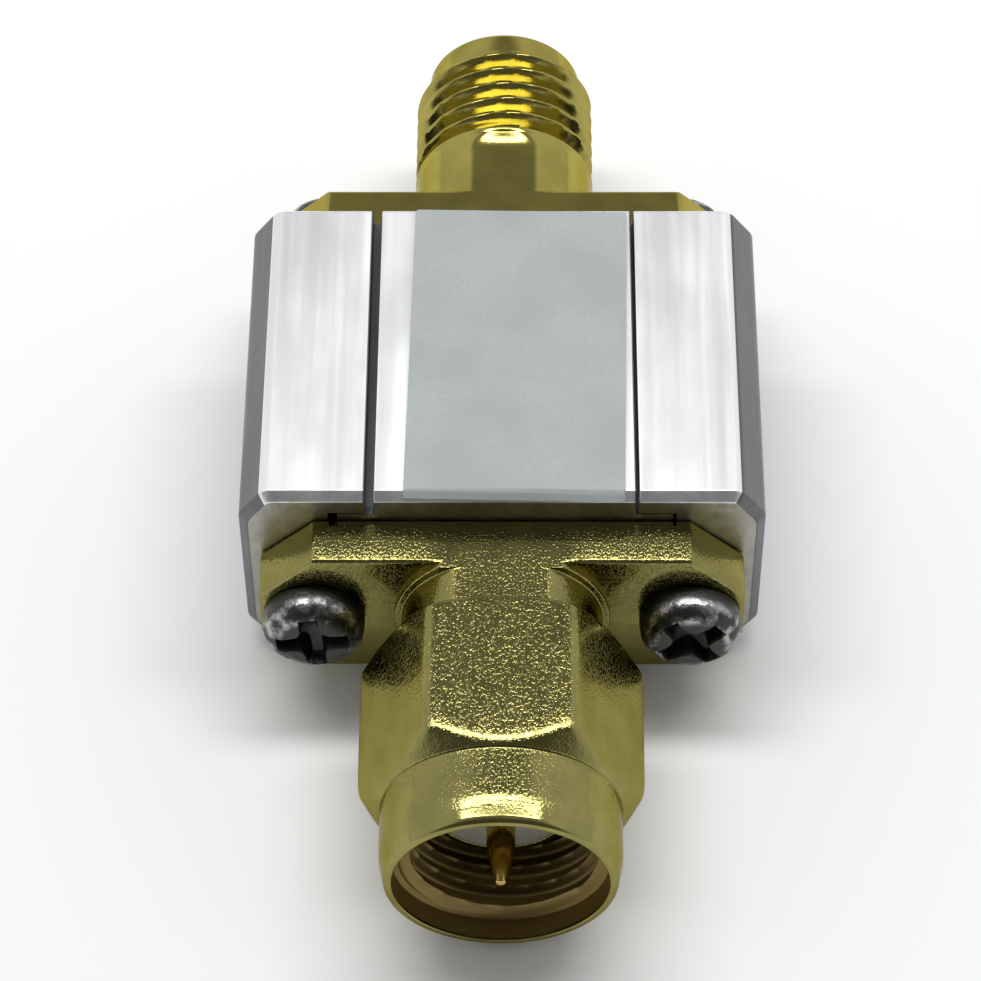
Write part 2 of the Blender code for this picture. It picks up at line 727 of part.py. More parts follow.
def build_screw(name, side, face, away):
    """A pan head screw with a cross recess, bearing on a flange's face. Its head points along away in Y."""
    shank = SHANK_DIAMETER / 2
    profile = [(0, HEAD_HEIGHT)] + head_curve()
    profile += [
        (HEAD_DIAMETER / 2, 0),
        (shank, 0),
        (shank, SHANK_POINT / 2 - SHANK_LENGTH),
        (shank - SHANK_POINT / 2, -SHANK_LENGTH),
        (0, -SHANK_LENGTH),
    ]
    place = (side * HOLE_SPACING / 2, face + away * FIT_GAP, 0)
    obj = turned(name, profile, plated_steel(), place, SMALL_STEPS)
    obj.rotation_euler = (-away * math.pi / 2, 0, 0)
    for arm, size in (
        ("_recess_long", (RECESS_SPAN, RECESS_ARM, 2 * RECESS_DEPTH)),
        ("_recess_cross", (RECESS_ARM, RECESS_SPAN, 2 * RECESS_DEPTH)),
    ):
        cutter = block(name + arm, size, None, (0, 0, HEAD_HEIGHT), RECESS_TURNS[name])
        cutter.parent = obj
        boolean(obj, cutter)
    shade_round(obj)


def build_screws():
    for end, face, away in (("plug", PLUG_FACE, -1), ("jack", JACK_FACE, 1)):
        build_screw(end + "_screw_left", -1, face, away)
        build_screw(end + "_screw_right", 1, face, away)


def build_board():
    """The board that slides into the channel's grooves, with a track to each end and copper at its sides."""
    width = 2 * (CAVITY_HALF + BOARD_GROOVE - SLIDE_GAP)
    length = BODY_LENGTH - 2 * BOARD_END_GAP
    size = (width, length, BOARD_THICKNESS)
    block("circuit_board", size, laminate(), (0, BODY_MIDDLE, BOARD_TOP - BOARD_THICKNESS / 2))
    level = COPPER_TOP - COPPER_THICKNESS / 2
    track_length = (length - CHIP_LENGTH) / 2 + CHIP_LAP
    track = (TRACK_WIDTH, track_length, COPPER_THICKNESS)
    reach = (length - track_length) / 2
    block("input_track", track, copper(), (0, BODY_MIDDLE - reach, level))
    block("output_track", track, copper(), (0, BODY_MIDDLE + reach, level))
    inner = TRACK_WIDTH / 2 + COPPER_SPACE
    outer = CAVITY_HALF - COPPER_MARGIN
    ground = (outer - inner, length, COPPER_THICKNESS)
    block("ground_copper_left", ground, copper(), (-(inner + outer) / 2, BODY_MIDDLE, level))
    block("ground_copper_right", ground, copper(), ((inner + outer) / 2, BODY_MIDDLE, level))


def build_chips():
    """The filter chip across the gap between the tracks, and an inductor from each track to the copper."""
    size = (CHIP_WIDTH, CHIP_LENGTH, CHIP_HEIGHT)
    block("filter_chip", size, ceramic(), (0, BODY_MIDDLE, SOLDER_LEVEL + CHIP_HEIGHT / 2))
    across = (TRACK_WIDTH + COPPER_SPACE) / 2
    along = (CHIP_LENGTH + COIL_WIDTH) / 2 + COPPER_SPACE
    size = (COIL_LENGTH, COIL_WIDTH, COIL_HEIGHT)
    level = SOLDER_LEVEL + COIL_HEIGHT / 2
    block("input_inductor", size, ferrite(), (across, BODY_MIDDLE - along, level))
    block("output_inductor", size, ferrite(), (-across, BODY_MIDDLE + along, level))


def build_solder(name, middle):
    """A dome of solder on a track, with the tail of a contact lying through it."""
    height = TAIL_DIAMETER + SOLDER_COVER
    mesh = bpy.data.meshes.new(name)
    shape = bmesh.new()
    bmesh.ops.create_uvsphere(shape, u_segments=SMALL_STEPS, v_segments=SMALL_STEPS // 2, radius=1)
    bmesh.ops.scale(shape, vec=(SOLDER_WIDTH / 2, SOLDER_LENGTH / 2, height), verts=shape.verts)
    shape.to_mesh(mesh)
    shape.free()
    obj = add(name, mesh, solder(), (0, middle, SOLDER_LEVEL))
    below = (SOLDER_WIDTH + OVERRUN, SOLDER_LENGTH + OVERRUN, 2 * height)
    boolean(obj, block(name + "_below", below, None, (0, middle, SOLDER_LEVEL - height)))
    boolean(obj, bar(name + "_tail", TAIL_DIAMETER + 2 * FIT_GAP, SOLDER_LENGTH + OVERRUN, (0, middle, 0)))
    shade_round(obj)


clear_scene()
parts = new_collection("rf_bandpass_filter")
cutters = new_collection("cutters")
axis_frame = bpy.data.objects.new("filter_axis", None)
parts.objects.link(axis_frame)
axis_frame.location = (0, -OVERALL_MIDDLE, BODY_HEIGHT / 2)
build_channel()
build_cover()
build_label()
build_plug_body()
build_coupling_nut()
build_snap_ring()
build_jack_body()
build_insulators()
build_plug_pin()
build_jack_socket()
build_screws()
build_board()
build_chips()
build_solder("plug_solder", TAIL_LENGTH - TAIL_BARE - SOLDER_LENGTH / 2)
build_solder("jack_solder", BODY_LENGTH - TAIL_LENGTH + TAIL_BARE + SOLDER_LENGTH / 2)
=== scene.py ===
"""RF bandpass filter: the look of the part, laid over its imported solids.

Lengths are in millimetres and are turned into metres where a mesh is made. The plug points along -Y, the
jack along +Y and +Z is up, as in the solids. The sections follow the filter as it is put together.
"""

import bpy
import numpy as np
from mathutils import Matrix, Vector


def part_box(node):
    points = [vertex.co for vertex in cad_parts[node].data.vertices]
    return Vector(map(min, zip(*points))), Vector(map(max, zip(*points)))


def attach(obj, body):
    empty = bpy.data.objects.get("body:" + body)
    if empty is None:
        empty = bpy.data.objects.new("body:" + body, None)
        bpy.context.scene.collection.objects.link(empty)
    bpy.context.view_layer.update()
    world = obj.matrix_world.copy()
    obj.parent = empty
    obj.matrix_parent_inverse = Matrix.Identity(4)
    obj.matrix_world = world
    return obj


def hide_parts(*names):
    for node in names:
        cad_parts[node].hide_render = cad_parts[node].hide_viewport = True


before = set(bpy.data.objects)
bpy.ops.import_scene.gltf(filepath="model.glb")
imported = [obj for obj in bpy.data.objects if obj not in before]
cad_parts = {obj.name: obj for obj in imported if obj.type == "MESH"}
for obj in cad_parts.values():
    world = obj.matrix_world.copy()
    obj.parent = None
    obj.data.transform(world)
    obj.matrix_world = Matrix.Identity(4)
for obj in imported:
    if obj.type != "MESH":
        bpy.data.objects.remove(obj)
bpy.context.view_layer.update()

MM = 0.001
TINY = 1e-9


# Housing channel: the aluminium body, an extrusion with a cavity for the board and two lips over the cover.
# It is sawn to length and its ends are broken. The flats shine; the sloping corners, sides and cavity are
# a dark grey copy of the aluminium, painted shade.
channel_box = np.array(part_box("housing_channel")) / MM
FRONT, BACK = channel_box[:, 1]
TOP = (channel_box[1, 2] - channel_box[0, 2]) / 2
AXIS_LEVEL = channel_box[0, 2] + TOP
HOUSING_HALF = channel_box[1, 0]
CHAMFER_RUN, CHAMFER_DROP = 0.75, 1.07
ARRIS_RUN, ARRIS_DROP = 0.27, 0.13
OPENING_HALF, LIP_THICKNESS, GROOVE_HALF = 4.4, 0.85, 5.6
CAVITY_HALF, CAVITY_FLOOR, GROOVE_FLOOR = 4.6, -2.65, 2.27
BOARD_GROOVE, GROOVE_LOW, GROOVE_HIGH = 0.4, -1.32, -0.44
CORNER_STEPS = 4
END_BREAK = np.array([(0.31, 0.0), (0.272, 0.012), (0.238, 0.04), (0.04, 0.238), (0.012, 0.272), (0.0, 0.31)])


def mirrored(half):
    """Completes an outline: the right half as given, then its mirror image back to the start."""
    half = np.array(half, dtype=float)
    return np.concatenate([half, half[::-1] * (-1, 1)])


def moved_in(corners, shares, distance):
    """Moves each edge of a clockwise outline inwards by its share of a distance.

    A corner goes to where its two moved edges meet: the point whose distance to both old edges is theirs.
    """
    along = np.roll(corners, -1, axis=0) - corners
    along /= np.linalg.norm(along, axis=1, keepdims=True)
    after = np.stack([along[:, 1], -along[:, 0]], axis=1)
    before = np.roll(after, 1, axis=0)
    after_move = shares * distance
    before_move = np.roll(after_move, 1)
    cross = before[:, 0] * after[:, 1] - before[:, 1] * after[:, 0]
    across = (before_move * after[:, 1] - after_move * before[:, 1]) / cross
    upwards = (after_move * before[:, 0] - before_move * after[:, 0]) / cross
    return corners + np.stack([across, upwards], axis=1)


def rounded(corners, reach, closed=True):
    """Rounds the corners of an outline, each from its reach before it to its reach after it.

    A point at share t of a rounding is (1-t)^2 of its start, 2t(1-t) of the corner and t^2 of its end. No
    rounding takes more than its share of an edge, so that two of them never meet.
    """
    corners = np.asarray(corners, dtype=float)
    reach = np.broadcast_to(reach, len(corners))[:, None]
    before = np.roll(corners, 1, axis=0) - corners
    after = np.roll(corners, -1, axis=0) - corners
    if not closed:
        before[0] = after[-1] = 0.0
    most_share = 0.45
    ends = []
    for edge in (before, after):
        length = np.maximum(np.linalg.norm(edge, axis=1, keepdims=True), TINY)
        ends.append(corners + edge * np.minimum(reach / length, most_share))
    t = np.linspace(0, 1, CORNER_STEPS)[None, :, None]
    start, middle, end = ends[0][:, None], corners[:, None], ends[1][:, None]
    return ((1 - t) ** 2 * start + 2 * t * (1 - t) * middle + t ** 2 * end).reshape(-1, 2)


def grid_faces(rows, columns, ring=False):
    """Faces between neighbours in a grid whose columns close: its rows close too, or both ends are capped."""
    row = np.arange(rows if ring else rows - 1)[:, None]
    column = np.arange(columns)[None, :]
    next_row = (row + 1) % rows
    next_column = (column + 1) % columns
    corners = [row * columns + column, row * columns + next_column]
    corners += [next_row * columns + next_column, next_row * columns + column]
    faces = np.stack(np.broadcast_arrays(*corners), axis=-1).reshape(-1, 4).tolist()
    if not ring:
        faces.append(list(range(columns))[::-1])
        faces.append(list(range((rows - 1) * columns, rows * columns)))
    return faces


SHARP_ANGLE = np.radians(38)


def make_piece(name, points, finishes, body, nodes, ring=False, finish_of_column=None):
    """Makes a piece from a grid of points (rows, columns, xyz), attaches it to its body and hides its nodes.

    finish_of_column gives the number of the finish of each column of faces; the capped ends get the last one.
    """
    rows, columns = points.shape[:2]
    mesh = bpy.data.meshes.new(name)
    mesh.from_pydata((points.reshape(-1, 3) * MM).tolist(), [], grid_faces(rows, columns, ring))
    for finish in finishes:
        mesh.materials.append(finish)
    if finish_of_column is not None:
        numbers = np.full(len(mesh.polygons), len(finishes) - 1, dtype=np.int32)
        numbers[:(rows - 1) * columns] = np.tile(finish_of_column, rows - 1)
        mesh.polygons.foreach_set("material_index", numbers)
    mesh.shade_smooth()
    mesh.set_sharp_from_angle(angle=SHARP_ANGLE)
    piece = bpy.data.objects.new(name, mesh)
    bpy.context.scene.collection.objects.link(piece)
    even = piece.modifiers.new("even_shading", "WEIGHTED_NORMAL")
    even.keep_sharp = True
    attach(piece, body)
    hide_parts(*nodes)
    return piece


def add_node(tree, kind, inputs=None, **settings):
    """Adds a shader node with its settings, and sets or links its inputs, each given by name or number."""
    made = tree.nodes.new(kind)
    for key, value in settings.items():
        setattr(made, key, value)
    for key, value in (inputs or {}).items():
        if isinstance(value, bpy.types.NodeSocket):
            tree.links.new(value, made.inputs[key])
        else:
            made.inputs[key].default_value = value
    return made


def computed(tree, operation, *values):
    """The result of one sum on values, each a number or what another node gives."""
    return add_node(tree, "ShaderNodeMath", dict(enumerate(values)), operation=operation).outputs[0]


def pattern(tree, scale, stretch=(1, 1, 1), detail=3.0, low=0.35, high=0.65):
    """Noise from 0 to 1 on the place in the part, in features of about 1/scale millimetres."""
    place = add_node(tree, "ShaderNodeTexCoord").outputs["Object"]
    mapped = add_node(tree, "ShaderNodeMapping", {"Vector": place, "Scale": stretch}).outputs["Vector"]
    noise = add_node(tree, "ShaderNodeTexNoise", {"Vector": mapped, "Scale": scale / MM, "Detail": detail})
    spread = {"Value": noise.outputs["Fac"], "From Min": low, "From Max": high}
    return add_node(tree, "ShaderNodeMapRange", spread).outputs["Result"]


# A mix node's sockets share their names, so its two colours and its result go by number.
COLOUR_INPUTS, COLOUR_OUTPUT = (6, 7), 2


def blended(tree, share, first, second):
    """The colour between two colours at a share from 0 to 1. A colour may come from another node."""
    mix = add_node(tree, "ShaderNodeMix", {"Factor": share}, data_type="RGBA")
    for number, colour in zip(COLOUR_INPUTS, (first, second)):
        if isinstance(colour, bpy.types.NodeSocket):
            tree.links.new(colour, mix.inputs[number])
        else:
            mix.inputs[number].default_value = (*colour, 1)
    return mix.outputs[COLOUR_OUTPUT]


def between(tree, share, low, high):
    """The value between two values at a share from 0 to 1."""
    spread = {"Value": share, "To Min": low, "To Max": high}
    return add_node(tree, "ShaderNodeMapRange", spread).outputs["Result"]


def raised(tree, height, distance, under=None):
    """The normal of a relief whose top is so many millimetres high, laid over another relief."""
    inputs = {"Height": height, "Distance": distance * MM, "Strength": 1.0}
    if under is not None:
        inputs["Normal"] = under
    return add_node(tree, "ShaderNodeBump", inputs).outputs["Normal"]


def new_finish(name, metallic):
    """Starts a material: its node tree, its shader, and the material itself."""
    made = bpy.data.materials.new(name)
    made.use_nodes = True
    shader = made.node_tree.nodes["Principled BSDF"]
    shader.inputs["Metallic"].default_value = metallic
    return made.node_tree, shader, made


def dress(tree, shader, colour, roughness, normal):
    """Links a finish's colour, roughness and relief to its shader."""
    tree.links.new(colour, shader.inputs["Base Color"])
    tree.links.new(roughness, shader.inputs["Roughness"])
    tree.links.new(normal, shader.inputs["Normal"])


def drawn_aluminium(name, dark, light, smooth, rough):
    """Extruded aluminium: long faint die lines, fine scratches along them, and a soft change of shine."""
    tree, shader, made = new_finish(name, 1.0)
    streaks = pattern(tree, 2.2, (1, 0.03, 1), detail=4.0, low=0.3, high=0.7)
    lines = pattern(tree, 16.0, (1, 0.02, 1), detail=2.0)
    cloud = pattern(tree, 0.5, (1, 0.5, 1), detail=2.0)
    mixed = computed(tree, "MULTIPLY", streaks, cloud)
    normal = raised(tree, lines, 0.002, raised(tree, streaks, 0.006))
    dress(tree, shader, blended(tree, streaks, dark, light), between(tree, mixed, smooth, rough), normal)
    return made


bright_skin = drawn_aluminium(
    "bright_extrusion", (0.78, 0.79, 0.80), (0.93, 0.93, 0.935),
    smooth=0.36, rough=0.44,
)
# Painted shade: a dark grey copy of the same aluminium, for the faces that look dark.
shaded_skin = drawn_aluminium(
    "shaded_extrusion", (0.125, 0.13, 0.135), (0.165, 0.17, 0.175),
    smooth=0.30, rough=0.45,
)
# The sawn ends are rougher, and painted shade: a darker, warmer copy of the aluminium.
shaded_sawn_end = drawn_aluminium(
    "shaded_sawn_end", (0.38, 0.37, 0.33), (0.48, 0.47, 0.43),
    smooth=0.34, rough=0.48,
)

inside = [
    (CAVITY_HALF, CAVITY_FLOOR),
    (CAVITY_HALF, GROOVE_LOW),
    (CAVITY_HALF + BOARD_GROOVE, GROOVE_LOW),
    (CAVITY_HALF + BOARD_GROOVE, GROOVE_HIGH),
    (CAVITY_HALF, GROOVE_HIGH),
    (CAVITY_HALF, GROOVE_FLOOR),
    (GROOVE_HALF, GROOVE_FLOOR),
    (GROOVE_HALF, TOP - LIP_THICKNESS),
    (OPENING_HALF, TOP - LIP_THICKNESS),
    (OPENING_HALF, TOP),
]
outside = [
    (HOUSING_HALF - CHAMFER_RUN - ARRIS_RUN, TOP),
    (HOUSING_HALF - CHAMFER_RUN, TOP - ARRIS_DROP),
    (HOUSING_HALF, TOP - CHAMFER_DROP - ARRIS_DROP),
    (HOUSING_HALF, CHAMFER_DROP + ARRIS_DROP - TOP),
    (HOUSING_HALF - CHAMFER_RUN, ARRIS_DROP - TOP),
    (HOUSING_HALF - CHAMFER_RUN - ARRIS_RUN, -TOP),
]
channel_corners = mirrored(inside + outside)
outer_edges = np.zeros(len(channel_corners))
outer_edges[len(inside) - 1:len(inside) + 2 * len(outside)] = 1
INSIDE_REACH, LIP_REACH, ARRIS_REACH, CORNER_REACH = 0.03, 0.05, 0.08, 0.2
half_reach = [INSIDE_REACH] * (len(inside) - 1) + [LIP_REACH]
half_reach += [ARRIS_REACH, ARRIS_REACH, CORNER_REACH, CORNER_REACH, ARRIS_REACH, ARRIS_REACH]
channel_reach = np.array(half_reach + half_reach[::-1])


def extruded(corners, reach, broken, low, high):
    """An outline in X and Z carried along Y, its broken edges drawn in towards both ends."""
    inset = np.concatenate([END_BREAK[:, 0], END_BREAK[::-1, 0]])
    along = np.concatenate([low + END_BREAK[:, 1], high - END_BREAK[::-1, 1]])
    loops = np.stack([rounded(moved_in(corners, broken, step), reach) for step in inset])
    points = np.empty((*loops.shape[:2], 3))
    points[..., 0] = loops[..., 0]
    points[..., 1] = along[:, None]
    points[..., 2] = loops[..., 1] + AXIS_LEVEL
    return points


# The top's flats, the small breaks beside them and the underside are bright. All the rest is grey,
# painted shade.
shaded_corners = np.ones(len(channel_corners), dtype=np.int32)
shaded_corners[len(inside) - 1:len(inside) + 1] = 0
shaded_corners[len(inside) + 4:len(inside) + 7] = 0
shaded_corners[-len(inside) - 2:-len(inside)] = 0
make_piece(
    "channel_extrusion",
    extruded(channel_corners, channel_reach, outer_edges, FRONT, BACK),
    [bright_skin, shaded_skin, shaded_sawn_end],
    "filter_body",
    ["housing_channel"],
    finish_of_column=np.repeat(shaded_corners, CORNER_STEPS),
)


# Cover: an aluminium extrusion of T section. Its wings run under the channel's lips, so two seams show,
# the left one wide and the right one tight. It slides in from an end before the flange goes on.
COVER_HALF, COVER_SHIFT, COVER_WING = 4.2, 0.1, 1.2
SLIDE_GAP = 0.04
wing_top = TOP - LIP_THICKNESS - SLIDE_GAP
cover_half = [
    (COVER_HALF + COVER_WING, GROOVE_FLOOR + SLIDE_GAP),
    (COVER_HALF + COVER_WING, wing_top),
    (COVER_HALF, wing_top),
    (COVER_HALF, TOP),
]
cover_corners = mirrored(cover_half)[::-1]
# Only its top is broken towards the ends, and only its top is bright; the rest is grey, painted shade.
cover_broken = np.zeros(len(cover_corners))
cover_broken[len(cover_half) - 1] = 1
cover_points = extruded(cover_corners, LIP_REACH, cover_broken, FRONT, BACK)
cover_points[..., 0] += COVER_SHIFT
make_piece(
    "cover_extrusion",
    cover_points,
    [bright_skin, shaded_skin, shaded_sawn_end],
    "filter_body",
    ["housing_cover"],
    finish_of_column=np.repeat(1 - cover_broken.astype(np.int32), CORNER_STEPS),
)


# Label: self-adhesive silver-grey film, cut with small round corners, laid on the cover a little askew and
# pressed down over its broken front edge. It is bare.
LABEL_WIDTH, LABEL_MIDDLE, LABEL_THICKNESS = 7.1, 0.5, 0.08
LABEL_TURN = np.radians(-1.0)
LABEL_MARGIN, LABEL_CORNER, FILM_GAP, FILM_REACH = 0.06, 0.10, 0.02, 0.03
EDGE_BREAK = 0.27
FOLD_LENGTH, FOLD_ANGLE, FOLD_EASE, FOLD_LEAD = 0.3, np.radians(45), 0.12, 0.2
CORNER_ROWS, FLAT_ROWS, FOLD_ROWS = 10, 30, 40
back_end = BACK - EDGE_BREAK - LABEL_MARGIN
flat_length = back_end - (FRONT + EDGE_BREAK)
label_length = flat_length + FOLD_LENGTH
steps = np.concatenate([
    np.linspace(0, LABEL_CORNER, CORNER_ROWS),
    np.linspace(LABEL_CORNER, flat_length - FOLD_LEAD, FLAT_ROWS)[1:],
    np.linspace(flat_length - FOLD_LEAD, label_length, FOLD_ROWS)[1:],
])
from_end = np.minimum(np.minimum(steps, label_length - steps), LABEL_CORNER)
half_width = LABEL_WIDTH / 2 - LABEL_CORNER + np.sqrt(LABEL_CORNER ** 2 - (LABEL_CORNER - from_end) ** 2)
film_section = rounded([(-1, 1), (1, 1), (1, 0), (-1, 0)], FILM_REACH)


def eased(value, low, high):
    """Rises smoothly from 0 at the low value to 1 at the high one: 3 t^2 - 2 t^3 at a share t of the way."""
    share = np.clip((value - low) / (high - low), 0, 1)
    return share * share * (3 - 2 * share)


def folded(travel, height):
    """Places along Y and levels of points at a travel along the film and a height over the cover.

    The slope rises smoothly to the fold's angle, and a place is the sum of the small steps before it.
    """
    spare, count = 0.5, 2000
    fine = np.linspace(-spare, label_length + spare, count)
    slope = FOLD_ANGLE * eased(fine, flat_length - FOLD_EASE / 2, flat_length + FOLD_EASE / 2)
    step = np.diff(fine, prepend=fine[0])
    along = back_end + spare - np.cumsum(step * np.cos(slope))
    level = AXIS_LEVEL + TOP - np.cumsum(step * np.sin(slope))
    turned = np.interp(travel, fine, slope)
    placed = np.interp(travel, fine, along) - height * np.sin(turned)
    return placed, np.interp(travel, fine, level) + height * np.cos(turned)


across = half_width[::-1, None] * film_section[None, :, 0]
forward = label_length / 2 - steps[::-1, None] + 0 * across
label_points = np.empty((*across.shape, 3))
label_points[..., 0] = LABEL_MIDDLE + across * np.cos(LABEL_TURN) - forward * np.sin(LABEL_TURN)
travel = label_length / 2 - across * np.sin(LABEL_TURN) - forward * np.cos(LABEL_TURN)
height = FILM_GAP + LABEL_THICKNESS * film_section[None, :, 1] + 0 * across
label_points[..., 1], label_points[..., 2] = folded(travel, height)


def satin_film():
    """Printed polyester film: a silver-grey ground with a fine even speckle and a faint orange-peel."""
    tree, shader, made = new_finish("silver_film", 0.0)
    speckle = pattern(tree, 9.0, detail=4.0)
    cloud = pattern(tree, 0.35, detail=2.0)
    lightness = between(tree, cloud, 0.2, 0.6)
    shade = computed(tree, "MULTIPLY_ADD", speckle, cloud, lightness)
    colour = blended(tree, shade, (0.355, 0.388, 0.388), (0.415, 0.450, 0.450))
    dress(tree, shader, colour, between(tree, speckle, 0.42, 0.52), raised(tree, speckle, 0.0008))
    return made


make_piece("label_film", label_points, [satin_film()], "filter_body", ["label"])


# Board and what it carries: woven laminate with gold-flashed copper, a fired ceramic filter chip, two
# wire-wound inductors, and a solder joint at each contact's tail. The solids' shapes are right as they are.
def plain_finish(name, dark, light, smooth, rough, metallic, scale, relief):
    """A finish of one kind of grain: its colour, shine and relief follow the same noise."""
    tree, shader, made = new_finish(name, metallic)
    grain = pattern(tree, scale)
    dress(tree, shader, blended(tree, grain, dark, light), between(tree, grain, smooth, rough),
          raised(tree, grain, relief))
    return made


def woven_laminate():
    """Glass cloth in green resin: two waves at right angles show as a weave of raised threads."""
    tree, shader, made = new_finish("woven_laminate", 0.0)
    place = add_node(tree, "ShaderNodeTexCoord").outputs["Object"]
    waves = []
    for direction in ("X", "Y"):
        inputs = {"Vector": place, "Scale": 0.9 / MM, "Distortion": 0.4}
        waves.append(add_node(tree, "ShaderNodeTexWave", inputs, bands_direction=direction).outputs["Fac"])
    weave = computed(tree, "MULTIPLY", *waves)
    colour = blended(tree, weave, (0.02, 0.10, 0.045), (0.04, 0.17, 0.08))
    dress(tree, shader, colour, between(tree, weave, 0.35, 0.5), raised(tree, weave, 0.006))
    return made


def redress(finish, *nodes):
    """Gives each solid that is kept as it is the finish in place of its plain one."""
    for node in nodes:
        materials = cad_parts[node].data.materials
        materials.clear()
        materials.append(finish)


redress(woven_laminate(), "circuit_board")
redress(
    plain_finish(
        "fired_ceramic", (0.66, 0.63, 0.56), (0.76, 0.73, 0.66),
        smooth=0.4, rough=0.6, metallic=0.0, scale=6.0, relief=0.004,
    ),
    "filter_chip",
)
redress(
    plain_finish(
        "dark_ferrite", (0.03, 0.035, 0.04), (0.07, 0.075, 0.08),
        smooth=0.35, rough=0.6, metallic=0.0, scale=9.0, relief=0.004,
    ),
    "input_inductor", "output_inductor",
)
redress(
    plain_finish(
        "flashed_copper", (0.62, 0.45, 0.20), (0.76, 0.58, 0.28),
        smooth=0.25, rough=0.42, metallic=1.0, scale=5.0, relief=0.002,
    ),
    "input_track", "output_track", "ground_copper_left", "ground_copper_right",
)
redress(
    plain_finish(
        "reflowed_solder", (0.50, 0.51, 0.52), (0.66, 0.67, 0.68),
        smooth=0.16, rough=0.34, metallic=1.0, scale=4.0, relief=0.004,
    ),
    "plug_solder", "jack_solder",
)


# Plug body: one piece of gold-plated brass, milled and turned: two-hole flange, low boss, neck milled flat
# level with the flange, collet with a groove for the snap ring, and the sleeve round the insulator.
FLANGE_HALF_WIDTH, FLANGE_HALF_HEIGHT, FLANGE_THICKNESS = 7.85, 2.9, 1.7
FLANGE_CHAMFER, FLANGE_EDGE, EDGE_ROWS, SEAT_GAP = 1.8, 0.14, 5, 0.03
PLUG_SEAT = FRONT - SEAT_GAP
PLUG_FACE = PLUG_SEAT - FLANGE_THICKNESS
BOSS_RADIUS, BOSS_HEIGHT = 3.5, 0.2
NECK_RADIUS, NECK_END = 3.25, PLUG_FACE - 1.9
NUT_REAR = NECK_END - 0.1
COLLET_RADIUS, COLLET_END = 2.65, NUT_REAR - 1.5
RING_PLACE, RING_GROOVE = NUT_REAR - 0.6, 0.54
SLEEVE_RADIUS, BORE_RADIUS, THROAT_RADIUS, THROAT_LENGTH, THROAT_ROW = 2.3, 2.05, 1.8, 1.1, 0.3
SLEEVE_END = PLUG_FACE - 7.55
CRISP, SOFT = 28.0, 6.0
FLANGE_COLUMNS, CORNER_SPREAD, CORNER_COLUMNS = 400, np.radians(1.4), 8
BARREL_REACH, FLATS_END = 0.06, NECK_END - 0.05


def nearest(*radii, k=CRISP):
    """The least of several radii, eased where alike: minus the log of the sum of exp(-k r), divided by k."""
    powers = np.stack(np.broadcast_arrays(*radii))
    least = powers.min(axis=0)
    return least - np.log(np.exp(-k * (powers - least)).sum(axis=0)) / k


def gathered_angles(count, corners, spread, extra):
    """Angles round the axis, even, with more of them gathered within a spread on each side of each corner."""
    even = np.linspace(0, 2 * np.pi, count, endpoint=False)
    close = np.asarray(corners)[:, None] + np.linspace(-spread, spread, extra)[None, :]
    return np.unique(np.round(np.concatenate([even, close.ravel() % (2 * np.pi)]), 6))


corner_angles = np.arctan2(
    [FLANGE_HALF_HEIGHT, FLANGE_HALF_HEIGHT - FLANGE_CHAMFER],
    [FLANGE_HALF_WIDTH - FLANGE_CHAMFER, FLANGE_HALF_WIDTH],
)
corner_angles = np.concatenate([corner_angles, np.pi - corner_angles, np.pi + corner_angles, -corner_angles])
flange_angles = gathered_angles(FLANGE_COLUMNS, corner_angles, CORNER_SPREAD, CORNER_COLUMNS)
beside = np.maximum(np.abs(np.cos(flange_angles)), TINY)
above = np.maximum(np.abs(np.sin(flange_angles)), TINY)


def flange_radius(inset):
    """The flange's outline as a radius: the nearest of its side, its top and the slope between the two."""
    slope = FLANGE_HALF_WIDTH + FLANGE_HALF_HEIGHT - FLANGE_CHAMFER - inset * np.sqrt(2)
    side = (FLANGE_HALF_WIDTH - inset) / beside
    return nearest(side, (FLANGE_HALF_HEIGHT - inset) / above, slope / (beside + above))


def milled_radius(radius, lift=0.0):
    """A round bar's radius where it is milled level with the flange above and below, or a lift higher."""
    return nearest(radius, (FLANGE_HALF_HEIGHT + lift) / above)


def turned_points(radii, along, angles):
    """Points round the axis from a table of radii (rows, columns) and the rows' places along it."""
    points = np.empty((len(along), len(angles), 3))
    points[..., 0] = radii * np.cos(angles)
    points[..., 1] = np.asarray(along)[:, None]
    points[..., 2] = AXIS_LEVEL + radii * np.sin(angles)
    return points


def flange_rows(seat, face, boss_radius):
    """The flange's rows from its seat to its face: its edges are rounded, save where the barrel is flush."""
    away = np.sign(face - seat)
    flush_span = 0.4
    free = np.clip((flange_radius(0) - milled_radius(boss_radius)) / flush_span, 0, 1)
    arc = np.linspace(0, np.pi / 2, EDGE_ROWS)
    rows = []
    for turn in arc:
        inset = FLANGE_EDGE * (1 - np.sin(turn))
        rows.append((flange_radius(inset), seat + away * FLANGE_EDGE * (1 - np.cos(turn))))
    for turn in arc[::-1]:
        inset = FLANGE_EDGE * (1 - np.sin(turn)) * free
        rows.append((flange_radius(inset), face - away * FLANGE_EDGE * (1 - np.cos(turn))))
    return rows


def barrel_rows(profile, reach, flats_end=None):
    """Rows of a turned barrel from its corners as (radius, y), rounded, and milled flat up to flats_end."""
    rows = []
    for radius, place in rounded(profile, reach, closed=False):
        flat = flats_end is not None and abs(place - FRONT) < abs(flats_end - FRONT)
        rows.append((milled_radius(radius) if flat else radius + 0 * above, place))
    return rows


def body_points(rows):
    """Points of a connector's body from its rows, each with a radius for every angle and a place along Y."""
    radii, along = zip(*rows)
    return turned_points(np.stack(radii), along, flange_angles)


